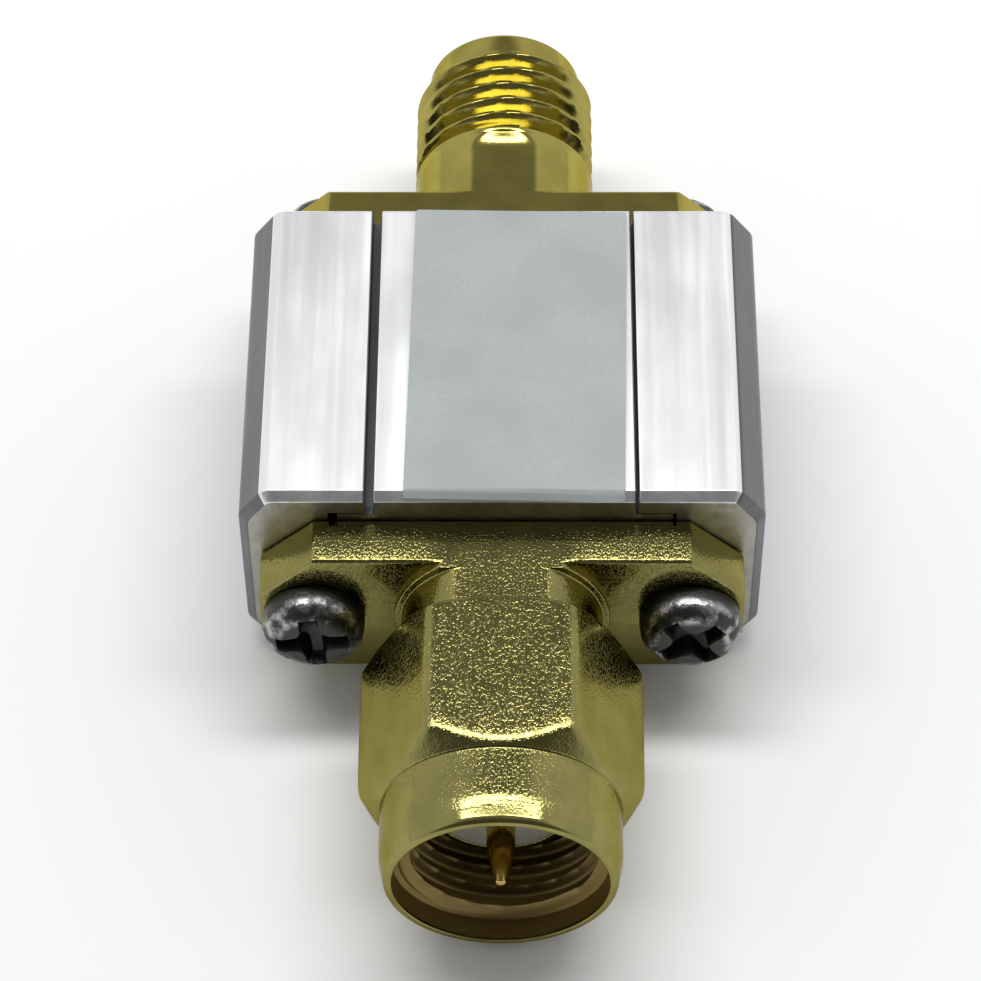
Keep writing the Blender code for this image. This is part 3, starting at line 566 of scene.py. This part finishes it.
def plated_gold(name, dark, light, smooth, rough, grain, scale, bore=None):
    """Gold over brass: the brass's grain shows through as relief, with a faint change of tone.

    Where a colour is given for the bore, a browner tone painted as shade inside it, the piece's own
    attribute "outside", 0 in its bore and 1 on its skin, leads from that colour to the rest, and its
    attribute "grain" says how much grain shows.
    """
    tree, shader, made = new_finish(name, 1.0)
    fine = pattern(tree, scale, (1.4, 0.9, 1.4), detail=2.0, low=0.49, high=0.80)
    milling = pattern(tree, 5.0, (0.05, 1, 0.3), detail=2.0, low=0.55, high=0.75)
    cloud = pattern(tree, 0.9, detail=3.0)
    height = fine
    roughness = between(tree, fine, smooth, rough)
    colour = blended(tree, cloud, dark, light)
    if bore is not None:
        outside = add_node(tree, "ShaderNodeAttribute", attribute_name="outside").outputs["Fac"]
        amount = add_node(tree, "ShaderNodeAttribute", attribute_name="grain").outputs["Fac"]
        height = computed(tree, "MULTIPLY", fine, amount)
        roughness = between(tree, outside, 2.5 * rough, smooth)
        colour = blended(tree, outside, bore, colour)
    normal = raised(tree, height, grain, raised(tree, milling, 0.4 * grain))
    dress(tree, shader, colour, roughness, normal)
    shader.inputs["Specular Tint"].default_value = (0.70, 0.64, 0.42, 1)
    return made


def mark(piece, name, values, columns):
    """Gives a piece an attribute with one value for each row of its grid of points."""
    attribute = piece.data.attributes.new(name, "FLOAT", "POINT")
    attribute.data.foreach_set("value", np.repeat(values, columns))


GOLD_DARK, GOLD_LIGHT = (0.240, 0.222, 0.078), (0.295, 0.270, 0.095)
milled_gold = plated_gold(
    "milled_gold", GOLD_DARK, GOLD_LIGHT,
    smooth=0.11, rough=0.19, grain=0.007, scale=11.0,
)
plug_rows = [(THROAT_RADIUS + 0 * above, PLUG_SEAT)]
plug_rows += flange_rows(PLUG_SEAT, PLUG_FACE, BOSS_RADIUS)
plug_rows += barrel_rows(
    [
        (BOSS_RADIUS, PLUG_FACE),
        (BOSS_RADIUS, PLUG_FACE - BOSS_HEIGHT),
        (NECK_RADIUS, PLUG_FACE - BOSS_HEIGHT),
        (NECK_RADIUS, NECK_END),
        (COLLET_RADIUS, NECK_END),
        (COLLET_RADIUS, RING_PLACE + RING_GROOVE / 2),
        (COLLET_RADIUS - RING_GROOVE / 2, RING_PLACE + RING_GROOVE / 2),
        (COLLET_RADIUS - RING_GROOVE / 2, RING_PLACE - RING_GROOVE / 2),
        (COLLET_RADIUS, RING_PLACE - RING_GROOVE / 2),
        (COLLET_RADIUS, COLLET_END),
        (SLEEVE_RADIUS, COLLET_END),
        (SLEEVE_RADIUS, SLEEVE_END),
        (BORE_RADIUS, SLEEVE_END),
        (BORE_RADIUS, PLUG_SEAT - THROAT_LENGTH),
        (THROAT_RADIUS, PLUG_SEAT - THROAT_LENGTH),
        (THROAT_RADIUS, PLUG_SEAT - THROAT_ROW),
    ],
    BARREL_REACH,
    FLATS_END,
)
make_piece(
    "plug_body",
    body_points(plug_rows),
    [milled_gold],
    "filter_body",
    ["plug_flange"],
    ring=True,
)


# Plug insulator and pin: a white fluoroplastic bush pressed into the bore, waxy and faintly ringed by the
# lathe, and a gold-plated pin in it, turned down in front of the bush to a coned tip.
ROUND_COLUMNS = 128
round_angles = np.linspace(0, 2 * np.pi, ROUND_COLUMNS, endpoint=False)
PIN_RADIUS, CONTACT_RADIUS, TAIL_RADIUS, TAIL_LENGTH = 0.45, 0.635, 0.38, 2.1
PIN_STEP, PIN_TIP = SLEEVE_END + 0.6, SLEEVE_END - 2.6
CONE_LENGTH, TIP_RADIUS, POLE_RADIUS = 1.1, 0.15, 0.01
FIT, BUSH_REACH, PIN_REACH = 0.02, 0.04, 0.05


def shaded_waxy_ptfe():
    """Machined fluoroplastic: lathe rings round the axis, translucent, its white dimmed by painted shade."""
    tree, shader, made = new_finish("shaded_waxy_ptfe", 0.0)
    cloud = pattern(tree, 1.2, detail=3.0)
    place = add_node(tree, "ShaderNodeTexCoord").outputs["Object"]
    centred = add_node(tree, "ShaderNodeMapping", {"Vector": place, "Location": (0, 0, -AXIS_LEVEL * MM)})
    inputs = {"Vector": centred.outputs["Vector"], "Scale": 1.6 / MM}
    wave = add_node(tree, "ShaderNodeTexWave", inputs, wave_type="RINGS", rings_direction="Y")
    rings = wave.outputs["Fac"]
    # Painted shade: the bush's white is dimmed to a warm grey for the shade it sits in.
    colour = blended(tree, cloud, (0.40, 0.38, 0.31), (0.48, 0.46, 0.39))
    dress(tree, shader, colour, between(tree, cloud, 0.35, 0.5), raised(tree, rings, 0.003))
    shader.inputs["Subsurface Weight"].default_value = 0.1
    shader.inputs["Subsurface Radius"].default_value = (0.0004, 0.0004, 0.0003)
    return made


shaded_ptfe = shaded_waxy_ptfe()


def bush_corners(tip, seat):
    """A bush's corners as (radius, y): stepped at the throat, from its +Y end down the outer side."""
    away = np.sign(tip - seat)
    step = seat + away * (THROAT_LENGTH + FIT)
    corners = [
        (CONTACT_RADIUS + FIT, tip),
        (BORE_RADIUS - FIT, tip),
        (BORE_RADIUS - FIT, step),
        (THROAT_RADIUS - FIT, step),
        (THROAT_RADIUS - FIT, seat),
        (CONTACT_RADIUS + FIT, seat),
    ]
    return corners if away > 0 else corners[::-1]


def turned_piece(name, corners, reach, finish, node, ring=False):
    """A round piece of the filter's body from its profile's corners, from its +Y end down the outer side."""
    profile = rounded(corners, reach, closed=ring)
    radii = profile[:, :1] + 0 * round_angles[None, :]
    points = turned_points(radii, profile[:, 1], round_angles)
    make_piece(name, points, [finish], "filter_body", [node], ring=ring)


plug_bush = bush_corners(SLEEVE_END, PLUG_SEAT)
turned_piece("plug_bush", plug_bush, BUSH_REACH, shaded_ptfe, "plug_insulator", ring=True)
contact_gold = plated_gold(
    "contact_gold", (0.50, 0.36, 0.11), (0.62, 0.46, 0.16),
    smooth=0.12, rough=0.22, grain=0.0015, scale=12.0,
)
turned_piece(
    "plug_pin",
    [
        (POLE_RADIUS, TAIL_LENGTH + FRONT),
        (TAIL_RADIUS, TAIL_LENGTH + FRONT),
        (TAIL_RADIUS, PLUG_SEAT),
        (CONTACT_RADIUS, PLUG_SEAT),
        (CONTACT_RADIUS, PIN_STEP),
        (PIN_RADIUS, PIN_STEP),
        (PIN_RADIUS, PIN_TIP + CONE_LENGTH),
        (TIP_RADIUS, PIN_TIP),
        (POLE_RADIUS, PIN_TIP),
    ],
    PIN_REACH,
    contact_gold,
    "plug_centre_pin",
)


# Snap ring: a split ring of round bronze wire, half in the collet's groove and half in the nut's. It stays
# as the solid has it, bare spring metal with faint drawing marks.
redress(
    plain_finish(
        "drawn_bronze", (0.42, 0.26, 0.11), (0.55, 0.36, 0.17),
        smooth=0.2, rough=0.35, metallic=1.0, scale=8.0, relief=0.002,
    ),
    "nut_snap_ring",
)


# Coupling nut: gold-plated brass, a hexagon with a turned chamfer at each end and a round collar in front,
# with a thread cut inside. The snap ring holds it and it turns freely on the collet.
NUT_FLAT, NUT_FACE, NUT_CORNER, COLLAR_RADIUS = 3.97, 3.95, 4.54, 3.80
HEX_LENGTH, COLLAR_LENGTH = 5.6, 2.6
HEX_END, MOUTH = NUT_REAR - HEX_LENGTH, NUT_REAR - HEX_LENGTH - COLLAR_LENGTH
THREAD_CREST, THREAD_DEPTH, THREAD_PITCH = 3.125, 0.43, 25.4 / 36
ROOT_SHARE, FLANK_SHARE, STRAIGHT_SHARE = 0.11, 0.78, 0.85
NUT_BORE, NUT_MINOR, MOUTH_BORE = 3.2, 2.83, 3.37
THREAD_INSET, THREAD_LENGTH, THREAD_TURN, CREST_POWER, RUN_OUT_LENGTH = 0.6, 3.2, -0.3, 4, 0.35
STEP_START, STEP_END, STEP_LIP = 0.78, 0.95, 0.01
REAR_WALL, REAR_BORE, REAR_GROOVE, REAR_ROW, ROW_GAP = 1.2, 2.75, 2.92, 0.1, 0.02
REAR_CHAMFER, FRONT_CHAMFER, FRONT_EASE, FRONT_SLOPE = 0.4, 0.62, 0.06, 0.92
COLLAR_TAPER, COLLAR_TAPER_LENGTH, COLLAR_BREAK, COLLAR_BREAK_LENGTH = 0.16, 0.85, 0.25, 0.08
NUT_COLUMNS, HEX_SPREAD, HEX_COLUMNS = 288, np.radians(2.4), 10
ROWS_A_TURN, LONGEST_STEP, SMOOTH_LENGTH = 18, 0.12, 1.2
hex_corners = np.radians([0, 60, 120, 180, 240, 300])
nut_angles = gathered_angles(NUT_COLUMNS, hex_corners, HEX_SPREAD, HEX_COLUMNS)


def ridge(turns):
    """Height of a thread from 0 in its root to 1 on its crest: nearly straight flanks, a little eased."""
    climb = np.clip((1 - np.abs(2 * (turns % 1) - 1) - ROOT_SHARE) / FLANK_SHARE, 0, 1)
    return STRAIGHT_SHARE * climb + (1 - STRAIGHT_SHARE) * eased(climb, 0, 1)


def filled(profile, longest):
    """Adds points to a profile so that no step along it is longer than so many millimetres."""
    steps = np.linalg.norm(np.diff(profile, axis=0), axis=1)
    travel = np.concatenate([[0], np.cumsum(steps)])
    places = [travel]
    for low, high in zip(travel, travel[1:]):
        places.append(np.linspace(low, high, int(np.ceil((high - low) / longest)) + 1))
    places = np.unique(np.concatenate(places))
    return np.stack([np.interp(places, travel, values) for values in profile.T], axis=1)


nut_outside = rounded(
    [
        (REAR_BORE, NUT_REAR),
        (NUT_FACE, NUT_REAR),
        (NUT_CORNER, NUT_REAR - REAR_CHAMFER),
        (NUT_CORNER, HEX_END + FRONT_CHAMFER),
        (NUT_FACE, HEX_END),
        (COLLAR_RADIUS, HEX_END),
        (COLLAR_RADIUS, MOUTH + COLLAR_TAPER_LENGTH),
        (COLLAR_RADIUS - COLLAR_TAPER, MOUTH + COLLAR_BREAK_LENGTH),
        (COLLAR_RADIUS - COLLAR_BREAK, MOUTH),
        (MOUTH_BORE, MOUTH),
        (MOUTH_BORE, MOUTH + THREAD_INSET),
    ],
    reach=[0.05, 0.25, 0.05, 0.05, 0.1, 0.04, 0.2, 0.05, 0.05, 0.04, 0.02],
    closed=False,
)
nut_outside = filled(nut_outside, LONGEST_STEP)
thread_rows = int(THREAD_LENGTH / THREAD_PITCH * ROWS_A_TURN)
thread_start = MOUTH + THREAD_INSET + ROW_GAP
thread_along = np.linspace(thread_start, MOUTH + THREAD_INSET + THREAD_LENGTH, thread_rows)
rear = NUT_REAR - REAR_WALL
nut_inside = rounded(
    [
        (NUT_BORE, rear - REAR_ROW),
        (NUT_BORE, rear),
        (REAR_BORE, rear),
        (REAR_BORE, RING_PLACE - RING_GROOVE / 2),
        (REAR_GROOVE, RING_PLACE - RING_GROOVE / 2),
        (REAR_GROOVE, RING_PLACE + RING_GROOVE / 2),
        (REAR_BORE, RING_PLACE + RING_GROOVE / 2),
        (REAR_BORE, NUT_REAR - REAR_ROW),
    ],
    reach=0.04,
    closed=False,
)
flat_angles = hex_corners + np.radians(30)
flat_radii = [NUT_FLAT / np.maximum(np.cos(nut_angles - flat), TINY) for flat in flat_angles]
hexagon = nearest(*flat_radii, k=3 * SOFT)
in_hexagon = nut_outside[:, 1] > HEX_END - TINY
front_cone = NUT_FLAT + FRONT_EASE + (nut_outside[:, 1:] - HEX_END) * FRONT_SLOPE
milled_blank = nearest(nut_outside[:, :1] + 0 * nut_angles, hexagon[None, :] + 0 * nut_outside[:, :1])
outside_radii = np.where(in_hexagon[:, None], nearest(milled_blank, front_cone, k=SOFT), nut_outside[:, :1])
turns = (thread_along[:, None] - MOUTH - STEP_END) / THREAD_PITCH + THREAD_TURN
turns = turns + nut_angles[None, :] / (2 * np.pi)
thread_radii = NUT_BORE - (NUT_BORE - NUT_MINOR) * ridge(turns) ** CREST_POWER
step_in = eased(thread_along, MOUTH + STEP_START, MOUTH + STEP_END)
step_radii = MOUTH_BORE - (MOUTH_BORE - NUT_MINOR + STEP_LIP) * step_in
run_out = NUT_BORE * eased(thread_along, thread_along[-1] - RUN_OUT_LENGTH, thread_along[-1])
thread_radii = np.maximum(thread_radii, np.maximum(step_radii, run_out)[:, None])
inside_radii = nut_inside[:, :1] + 0 * nut_angles
nut_radii = np.concatenate([outside_radii, thread_radii, inside_radii])
nut_along = np.concatenate([nut_outside[:, 1], thread_along, nut_inside[:, 1]])
# The bore gets a browner tone, painted for the shade inside the nut.
nut_gold = plated_gold(
    "nut_gold", GOLD_DARK, GOLD_LIGHT,
    smooth=0.11, rough=0.19, grain=0.007, scale=11.0, bore=(0.31, 0.235, 0.09),
)
nut = make_piece(
    "coupling_nut_threaded",
    turned_points(nut_radii, nut_along, nut_angles),
    [nut_gold],
    "nut_body",
    ["coupling_nut"],
    ring=True,
)
last_outside = np.flatnonzero(nut_outside[:, 1] < MOUTH + COLLAR_BREAK_LENGTH)[-1]
nut_skin = (np.arange(len(nut_along)) <= last_outside).astype(float)
mark(nut, "outside", nut_skin, len(nut_angles))
mark(nut, "grain", nut_skin * eased(nut_along, MOUTH, MOUTH + SMOOTH_LENGTH), len(nut_angles))


# Jack body: one piece of gold-plated brass like the plug's: flange, base milled level with it, shoulder,
# relief, a cut thread and a plain nose, bored for its bush and recessed at the mouth for a mating sleeve.
JACK_SEAT = BACK + SEAT_GAP
JACK_FACE = JACK_SEAT + FLANGE_THICKNESS
BASE_RADIUS, BASE_END, BASE_ROW = 3.1, JACK_FACE + 2.4, 0.7
RUN_OUT, RUN_OUT_RISE, RUN_OUT_SHIFT, RUN_OUT_PART, RUN_OUT_ROWS = 0.9, 0.3, 0.55, 0.8, 16
SHOULDER_START, SHOULDER_END, RELIEF_START = BASE_END + 0.3, BASE_END + 0.4, BASE_END + 0.66
THREAD_START, THREAD_TURNS, OUTER_TURN = BASE_END + 0.8, 5, -0.25
START_EASE, END_EASE, THREAD_SPARE, SPARE_TURNS = 0.14, 0.45, 0.1, 0.4
NOSE_LENGTH, NOSE_BREAK, NOSE_ROW, MOUTH_BREAK = 1.05, 0.2, 0.05, 0.05
JACK_END = THREAD_START + THREAD_TURNS * THREAD_PITCH + NOSE_LENGTH
SOCKET_FACE, MOUTH_RADIUS = JACK_END - 1.9, 2.325
THREAD_ROOT = THREAD_CREST - THREAD_DEPTH
thread_low, thread_end = THREAD_START - THREAD_SPARE, JACK_END - NOSE_LENGTH + THREAD_SPARE
outer_thread = np.linspace(thread_low, thread_end, int((THREAD_TURNS + SPARE_TURNS) * ROWS_A_TURN))
start_ease = eased(outer_thread, thread_low, thread_low + START_EASE)
end_ease = eased(-outer_thread, -thread_end, END_EASE - thread_end)
outer_turns = (outer_thread[:, None] - thread_low) / THREAD_PITCH + OUTER_TURN
outer_turns = outer_turns + flange_angles[None, :] / (2 * np.pi)
outer_radii = THREAD_ROOT + THREAD_DEPTH * ridge(outer_turns) * (start_ease * end_ease)[:, None]
jack_rows = barrel_rows(
    [
        (THROAT_RADIUS, JACK_SEAT + THROAT_ROW),
        (THROAT_RADIUS, JACK_SEAT + THROAT_LENGTH),
        (BORE_RADIUS, JACK_SEAT + THROAT_LENGTH),
        (BORE_RADIUS, SOCKET_FACE),
        (MOUTH_RADIUS, SOCKET_FACE),
        (MOUTH_RADIUS, JACK_END - MOUTH_BREAK),
        (MOUTH_RADIUS + MOUTH_BREAK, JACK_END),
        (THREAD_ROOT - NOSE_BREAK, JACK_END),
        (THREAD_ROOT, JACK_END - NOSE_BREAK),
        (THREAD_ROOT, thread_end + NOSE_ROW),
    ],
    reach=[0.04, 0.06, 0.06, 0.06, 0.04, 0.03, 0.03, 0.06, 0.1, 0.02],
)
jack_rows += list(zip(outer_radii[::-1], outer_thread[::-1]))
jack_rows += barrel_rows(
    [
        (THREAD_ROOT, thread_low - ROW_GAP),
        (THREAD_ROOT, RELIEF_START),
        (THREAD_CREST, SHOULDER_END),
        (THREAD_CREST, SHOULDER_START),
    ],
    BARREL_REACH,
)
# The cutter leaves the flats in a hollow curve, whose lift grows with the square of the way along it.
for share in np.linspace(RUN_OUT_PART, 0, RUN_OUT_ROWS):
    lift = RUN_OUT_RISE * share ** 2
    jack_rows.append((milled_radius(BASE_RADIUS, lift), BASE_END + (share - RUN_OUT_SHIFT) * RUN_OUT))
base_profile = [(BASE_RADIUS, BASE_END - BASE_ROW), (BASE_RADIUS, JACK_FACE)]
jack_rows += barrel_rows(base_profile, BARREL_REACH, BASE_END)
jack_rows += flange_rows(JACK_SEAT, JACK_FACE, BASE_RADIUS)[::-1]
jack_rows.append((THROAT_RADIUS + 0 * above, JACK_SEAT))
# Painted sheen: a brighter, yellower copy of the same gold, so the thread's lit patches come out yellow.
jack_gold_painted_sheen = plated_gold(
    "jack_gold_painted_sheen", (0.340, 0.295, 0.080), (0.410, 0.355, 0.096),
    smooth=0.14, rough=0.18, grain=0.0010, scale=9.0,
)
make_piece(
    "jack_body",
    body_points(jack_rows),
    [jack_gold_painted_sheen],
    "filter_body",
    ["jack_flange"],
    ring=True,
)


# Jack insulator and socket: the same white bush, and a gold-plated socket slotted into four spring fingers.
# The socket keeps its solid's shape.
jack_bush = bush_corners(SOCKET_FACE, JACK_SEAT)
turned_piece("jack_bush", jack_bush, BUSH_REACH, shaded_ptfe, "jack_insulator", ring=True)
redress(contact_gold, "jack_centre_contact")


# Screws: four pan heads with a cross recess, dark plated steel, lighter in patches on the rounded shoulder,
# wear and partly a painted highlight. They clamp the flanges to the channel's ports.
SCREW_PLACE, HEAD_RADIUS, HEAD_SIDE, HEAD_RISE, HEAD_FLAT = 6.1, 1.65, 0.4, 0.75, 0.95
SHANK_RADIUS, SHANK_LENGTH, SCREW_SEAT = 0.825, 4.0, 0.02
RECESS_HALF_SPAN, RECESS_HALF_ARM, RECESS_DEPTH = 1.18, 0.31, 0.85
RECESS_LIP, RECESS_WALL, RECESS_RISE = -0.02, 0.14, 0.45
SCREW_COLUMNS, HEAD_ROWS, HEAD_MIDDLE, HEAD_RIM = 240, 56, 0.02, 0.04
SHANK_POINT, SHANK_REACH = 0.3, 0.05
WEAR_HIGHLIGHT_START, WEAR_HIGHLIGHT_FULL = 0.05, 0.4
screw_angles = np.linspace(0, 2 * np.pi, SCREW_COLUMNS, endpoint=False)


def recess_depth(across, upwards):
    """Depth of the cross recess: deepest in the middle, and easing to nothing over the slope of its walls."""
    one = np.maximum(np.abs(across) - RECESS_HALF_ARM, np.abs(upwards) - RECESS_HALF_SPAN)
    other = np.maximum(np.abs(upwards) - RECESS_HALF_ARM, np.abs(across) - RECESS_HALF_SPAN)
    distance = nearest(one, other, k=SOFT)
    reach = np.hypot(across, upwards) / RECESS_HALF_SPAN
    return RECESS_DEPTH * (1 - RECESS_RISE * reach) * eased(-distance, RECESS_LIP, RECESS_WALL)


def plated_steel():
    """Dark plated steel, finely grained; its rounded head has light patches of wear and painted highlight."""
    tree, shader, made = new_finish("plated_steel", 1.0)
    grain = pattern(tree, 7.0, detail=4.0)
    patches = pattern(tree, 2.1, detail=6.0, low=0.45, high=0.62)
    rounding = add_node(tree, "ShaderNodeAttribute", attribute_name="rounding").outputs["Fac"]
    # The lighter patches on the rounded shoulder are wear and partly a painted highlight.
    wear_and_highlight = computed(tree, "MULTIPLY", patches, rounding)
    colour = blended(tree, wear_and_highlight, (0.060, 0.065, 0.060), (0.42, 0.42, 0.41))
    dress(tree, shader, colour, between(tree, wear_and_highlight, 0.42, 0.16), raised(tree, grain, 0.007))
    return made


screw_finish = plated_steel()
top_radii = np.linspace(HEAD_MIDDLE, HEAD_RADIUS - HEAD_RIM, HEAD_ROWS)
shoulder = np.clip((top_radii - HEAD_FLAT) / (HEAD_RADIUS - HEAD_FLAT), 0, 1)
top_heights = HEAD_SIDE + HEAD_RISE * np.sqrt(1 - shoulder ** 2)
shank_profile = rounded(
    [
        (HEAD_RADIUS, HEAD_SIDE),
        (HEAD_RADIUS, 0.0),
        (SHANK_RADIUS, 0.0),
        (SHANK_RADIUS, SHANK_POINT - SHANK_LENGTH),
        (SHANK_RADIUS - SHANK_POINT, -SHANK_LENGTH),
        (POLE_RADIUS, -SHANK_LENGTH),
    ],
    SHANK_REACH,
    closed=False,
)
crown = np.concatenate([eased(shoulder, WEAR_HIGHLIGHT_START, WEAR_HIGHLIGHT_FULL), 0 * shank_profile[:, 0]])
for name, side, face, away, turn in (
    ("plug_screw_left", -1, PLUG_FACE, -1, 6),
    ("plug_screw_right", 1, PLUG_FACE, -1, 38),
    ("jack_screw_left", -1, JACK_FACE, 1, 24),
    ("jack_screw_right", 1, JACK_FACE, 1, 71),
):
    angles = away * screw_angles
    local = screw_angles + np.radians(turn)
    depth = recess_depth(top_radii[:, None] * np.cos(local), top_radii[:, None] * np.sin(local))
    heights = np.concatenate([top_heights[:, None] - depth, shank_profile[:, 1:] + 0 * screw_angles])
    radii = np.concatenate([top_radii, shank_profile[:, 0]])[:, None]
    points = np.empty((*heights.shape, 3))
    points[..., 0] = side * SCREW_PLACE + radii * np.cos(angles)
    points[..., 1] = face + away * (SCREW_SEAT + heights)
    points[..., 2] = AXIS_LEVEL + radii * np.sin(angles)
    screw = make_piece(name + "_turned", points, [screw_finish], "filter_body", [name])
    mark(screw, "rounding", crown, SCREW_COLUMNS)


# Studio: a plain pale floor that the housing rests on, a pale surround that is brighter at its sides than
# overhead, and one wide soft lamp above, behind the part. The camera is where the photograph's was.
FLOOR_HALF = 2000.0
floor_mesh = bpy.data.meshes.new("floor")
floor_corners = np.array([(-1, -1, 0), (1, -1, 0), (1, 1, 0), (-1, 1, 0)]) * FLOOR_HALF * MM
floor_mesh.from_pydata(floor_corners.tolist(), [], [(0, 1, 2, 3)])
floor = bpy.data.objects.new("floor", floor_mesh)
bpy.context.scene.collection.objects.link(floor)
tree, shader, paper = new_finish("pale_paper", 0.0)
shader.inputs["Base Color"].default_value = (0.95, 0.95, 0.95, 1)
shader.inputs["Roughness"].default_value = 0.9
shader.inputs["Specular IOR Level"].default_value = 0.0
floor_mesh.materials.append(paper)

world = bpy.data.worlds.new("studio")
world.use_nodes = True
bpy.context.scene.world = world
sky = world.node_tree
sky.nodes["Background"].inputs["Color"].default_value = (1, 1, 1, 1)
MIDDLE_LEVEL, SIDE_LEVEL, BACKWARD_SHARE, LOW_SHARE = 0.30, 0.82, 0.5, -0.5
SHADE_DIRECTION, SHADE_LEVEL = (0.0, -0.76, 0.65), 0.5
LEVEL_SPREAD, SHADE_SPREAD = (0.12, 0.45), (0.35, 0.9)


def sky_step(value, ends, first, last):
    """A smooth step of the level over a spread of values, from the first level to the last."""
    spread = {"Value": value, "From Min": ends[0], "From Max": ends[1], "To Min": first, "To Max": last}
    return add_node(sky, "ShaderNodeMapRange", spread, interpolation_type="SMOOTHSTEP").outputs["Result"]


# The level rises with how far a direction is to the side, to the back and down: |x| + y / 2 - z / 2. A wide
# patch in front of the part and above it, which its top mirrors, is shaded.
direction = add_node(sky, "ShaderNodeTexCoord").outputs["Generated"]
parts = add_node(sky, "ShaderNodeSeparateXYZ", {0: direction}).outputs
outward = computed(sky, "ABSOLUTE", parts["X"])
outward = computed(sky, "MULTIPLY_ADD", parts["Y"], BACKWARD_SHARE, outward)
outward = computed(sky, "MULTIPLY_ADD", parts["Z"], LOW_SHARE, outward)
towards = add_node(sky, "ShaderNodeVectorMath", {0: direction, 1: SHADE_DIRECTION}, operation="DOT_PRODUCT")
level = sky_step(outward, LEVEL_SPREAD, MIDDLE_LEVEL, SIDE_LEVEL)
shading = sky_step(towards.outputs["Value"], SHADE_SPREAD, 1.0, SHADE_LEVEL)
sky.links.new(computed(sky, "MULTIPLY", level, shading), sky.nodes["Background"].inputs["Strength"])


def lamp(name, place, aim, width, depth, radiance):
    """A soft rectangular lamp turned towards a point: its power is pi times its radiance times its area."""
    data = bpy.data.lights.new(name, "AREA")
    data.shape = "RECTANGLE"
    data.size, data.size_y = width * MM, depth * MM
    data.energy = np.pi * radiance * data.size * data.size_y
    made = bpy.data.objects.new(name, data)
    bpy.context.scene.collection.objects.link(made)
    made.visible_camera = False
    back = np.array(place, dtype=float) - aim
    back /= np.linalg.norm(back)
    right = np.cross((0, 1, 0.001), back)
    right /= np.linalg.norm(right)
    turned = np.eye(4)
    turned[:3, 0], turned[:3, 1], turned[:3, 2] = right, np.cross(back, right), back
    turned[:3, 3] = np.array(place) * MM
    made.matrix_world = Matrix(turned.tolist())


lamp("top_lamp", place=(0, 72, 310), aim=(0, 72, 5), width=430, depth=68, radiance=9.4)

CAMERA_PLACE = (0.692, FRONT - 72.228, 103.376)
ELEVATION, YAW, ROLL = np.radians(52.73), np.radians(0.832), np.radians(-0.615)
FOCAL_PIXELS, FRAME_PIXELS, SENSOR = 3749.25, 981, 36.0
back = np.array([np.sin(YAW) * np.cos(ELEVATION), -np.cos(YAW) * np.cos(ELEVATION), np.sin(ELEVATION)])
right = np.cross(-back, (0, 0, 1))
right /= np.linalg.norm(right)
up = np.cross(right, -back)
pose = np.eye(4)
pose[:3, 0] = np.cos(ROLL) * right + np.sin(ROLL) * up
pose[:3, 1] = np.cos(ROLL) * up - np.sin(ROLL) * right
pose[:3, 2] = back
pose[:3, 3] = np.array(CAMERA_PLACE) * MM
camera_data = bpy.data.cameras.new("camera")
camera_data.sensor_width = SENSOR
camera_data.lens = FOCAL_PIXELS * SENSOR / FRAME_PIXELS
camera_data.clip_start = 0.005
camera = bpy.data.objects.new("camera", camera_data)
camera.matrix_world = Matrix(pose.tolist())
bpy.context.scene.collection.objects.link(camera)
bpy.context.scene.camera = camera
bpy.context.scene.view_settings.view_transform = "Standard"
